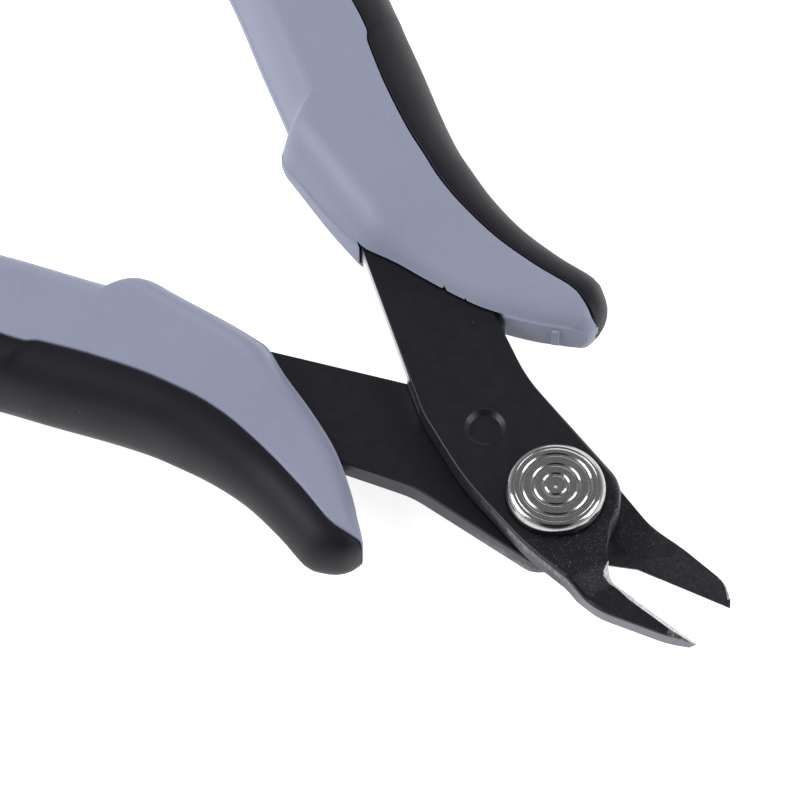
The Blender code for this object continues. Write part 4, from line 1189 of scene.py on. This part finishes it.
def softbox(name, direction, distance, size, radiance):
    """A square lamp of a given brightness that faces the rivet."""
    data = bpy.data.lights.new(name, "AREA")
    data.shape = "RECTANGLE"
    data.size, data.size_y = size
    data.energy = radiance * math.pi * size[0] * size[1]
    made = bpy.data.objects.new(name, data)
    made.location = direction.normalized() * distance
    made.rotation_euler = direction.to_track_quat("Z", "Y").to_euler()
    bpy.context.scene.collection.objects.link(made)


def lights():
    right, _, back = view_axes()
    front = Vector((back.x, back.y, 0)).normalized()
    for name, (shares, distance, size, radiance) in SOFTBOXES.items():
        direction = right * shares[0] + front * shares[1] + Vector((0, 0, shares[2]))
        softbox(name, direction, distance, size, radiance)


def studio_world():
    """A room that is bright at the horizon, dim overhead and dark where the photographer stands.

    The camera sees plain white.
    """
    world = bpy.data.worlds.new("studio")
    n = Tree(world)
    place = n.add("ShaderNodeTexCoord").outputs["Generated"]
    shade = n.add("ShaderNodeValToRGB", {0: n.add("ShaderNodeSeparateXYZ", {0: place}).outputs["Z"]})
    stops = shade.color_ramp.elements
    stops[0].color = (0.85, 0.85, 0.87, 1)
    stops[1].position = 0.75
    stops[1].color = (0.27, 0.27, 0.275, 1)
    stops.new(0.3).color = (0.52, 0.52, 0.53, 1)
    dark_side = Vector((math.sin(AZIMUTH), -math.cos(AZIMUTH), math.tan(DARK_ELEVATION))).normalized()
    facing = n.add("ShaderNodeVectorMath", {0: place, 1: dark_side}, operation="DOT_PRODUCT")
    near, full = DARK_FACING
    inputs = {"From Min": near, "From Max": full, "To Min": 1.0, "To Max": DARK_LEVEL}
    dim = n.add("ShaderNodeMapRange", {"Value": facing.outputs["Value"], **inputs})
    room = n.nodes["Background"]
    n.feed(shade.outputs[0], room.inputs["Color"])
    n.feed(dim.outputs[0], room.inputs["Strength"])
    white = n.add("ShaderNodeBackground", {"Color": (1, 1, 1)})
    seen = n.add("ShaderNodeLightPath").outputs["Is Camera Ray"]
    both = n.add("ShaderNodeMixShader", {0: seen, 1: room.outputs[0], 2: white.outputs[0]})
    n.feed(both.outputs[0], n.nodes["World Output"].inputs["Surface"])
    bpy.context.scene.world = world


def floor():
    """A white table that keeps a faint shadow."""
    made = bpy.data.materials.new("white_table")
    n = Tree(made)
    matt = n.nodes["Principled BSDF"]
    for name, value in (("Base Color", (0.8, 0.8, 0.8)), ("Roughness", 0.9), ("Specular IOR Level", 0.1)):
        n.feed(value, matt.inputs[name])
    ray = n.add("ShaderNodeLightPath").outputs
    seen = n.add("ShaderNodeMath", {0: ray["Is Camera Ray"], 1: ray["Is Glossy Ray"]}, operation="MAXIMUM")
    none, glow = [n.add("ShaderNodeEmission", {"Strength": strength}) for strength in (0.0, FLOOR_GLOW)]
    pick = n.add("ShaderNodeMixShader", {0: seen.outputs[0], 1: none.outputs[0], 2: glow.outputs[0]})
    both = n.add("ShaderNodeAddShader", {0: matt.outputs[0], 1: pick.outputs[0]})
    n.feed(both.outputs[0], n.nodes["Material Output"].inputs["Surface"])
    mesh_data = bmesh.new()
    bmesh.ops.create_grid(mesh_data, x_segments=1, y_segments=1, size=FLOOR_SIZE / 2)
    plane = object_from("table", mesh_data, [made])
    plane.location.z = cad_box[0][2]


def build():
    bpy.context.scene.view_settings.view_transform = "Standard"
    camera()
    lights()
    studio_world()
    floor()
    oxide, tang_edge, dark_ground = black_oxide(), rubbed_edge(), dark_ground_steel()
    ground = ground_steel("ground_steel", (0.42, 0.42, 0.44), (0.80, 0.80, 0.82))
    facet = ground_steel("stained_steel", (0.05, 0.05, 0.056), (0.24, 0.24, 0.255))
    nickel = bright_nickel()
    upper_blade(oxide, tang_edge, ground, facet, dark_ground)
    lower_blade(oxide, tang_edge, ground, dark_ground)
    rivet(nickel)
    collar(nickel)
    finish_spring(wire_steel())
    plastic, rubber = grey_plastic(), black_rubber()
    grip("upper", True, plastic, rubber)
    grip("lower", False, plastic, rubber)


build()
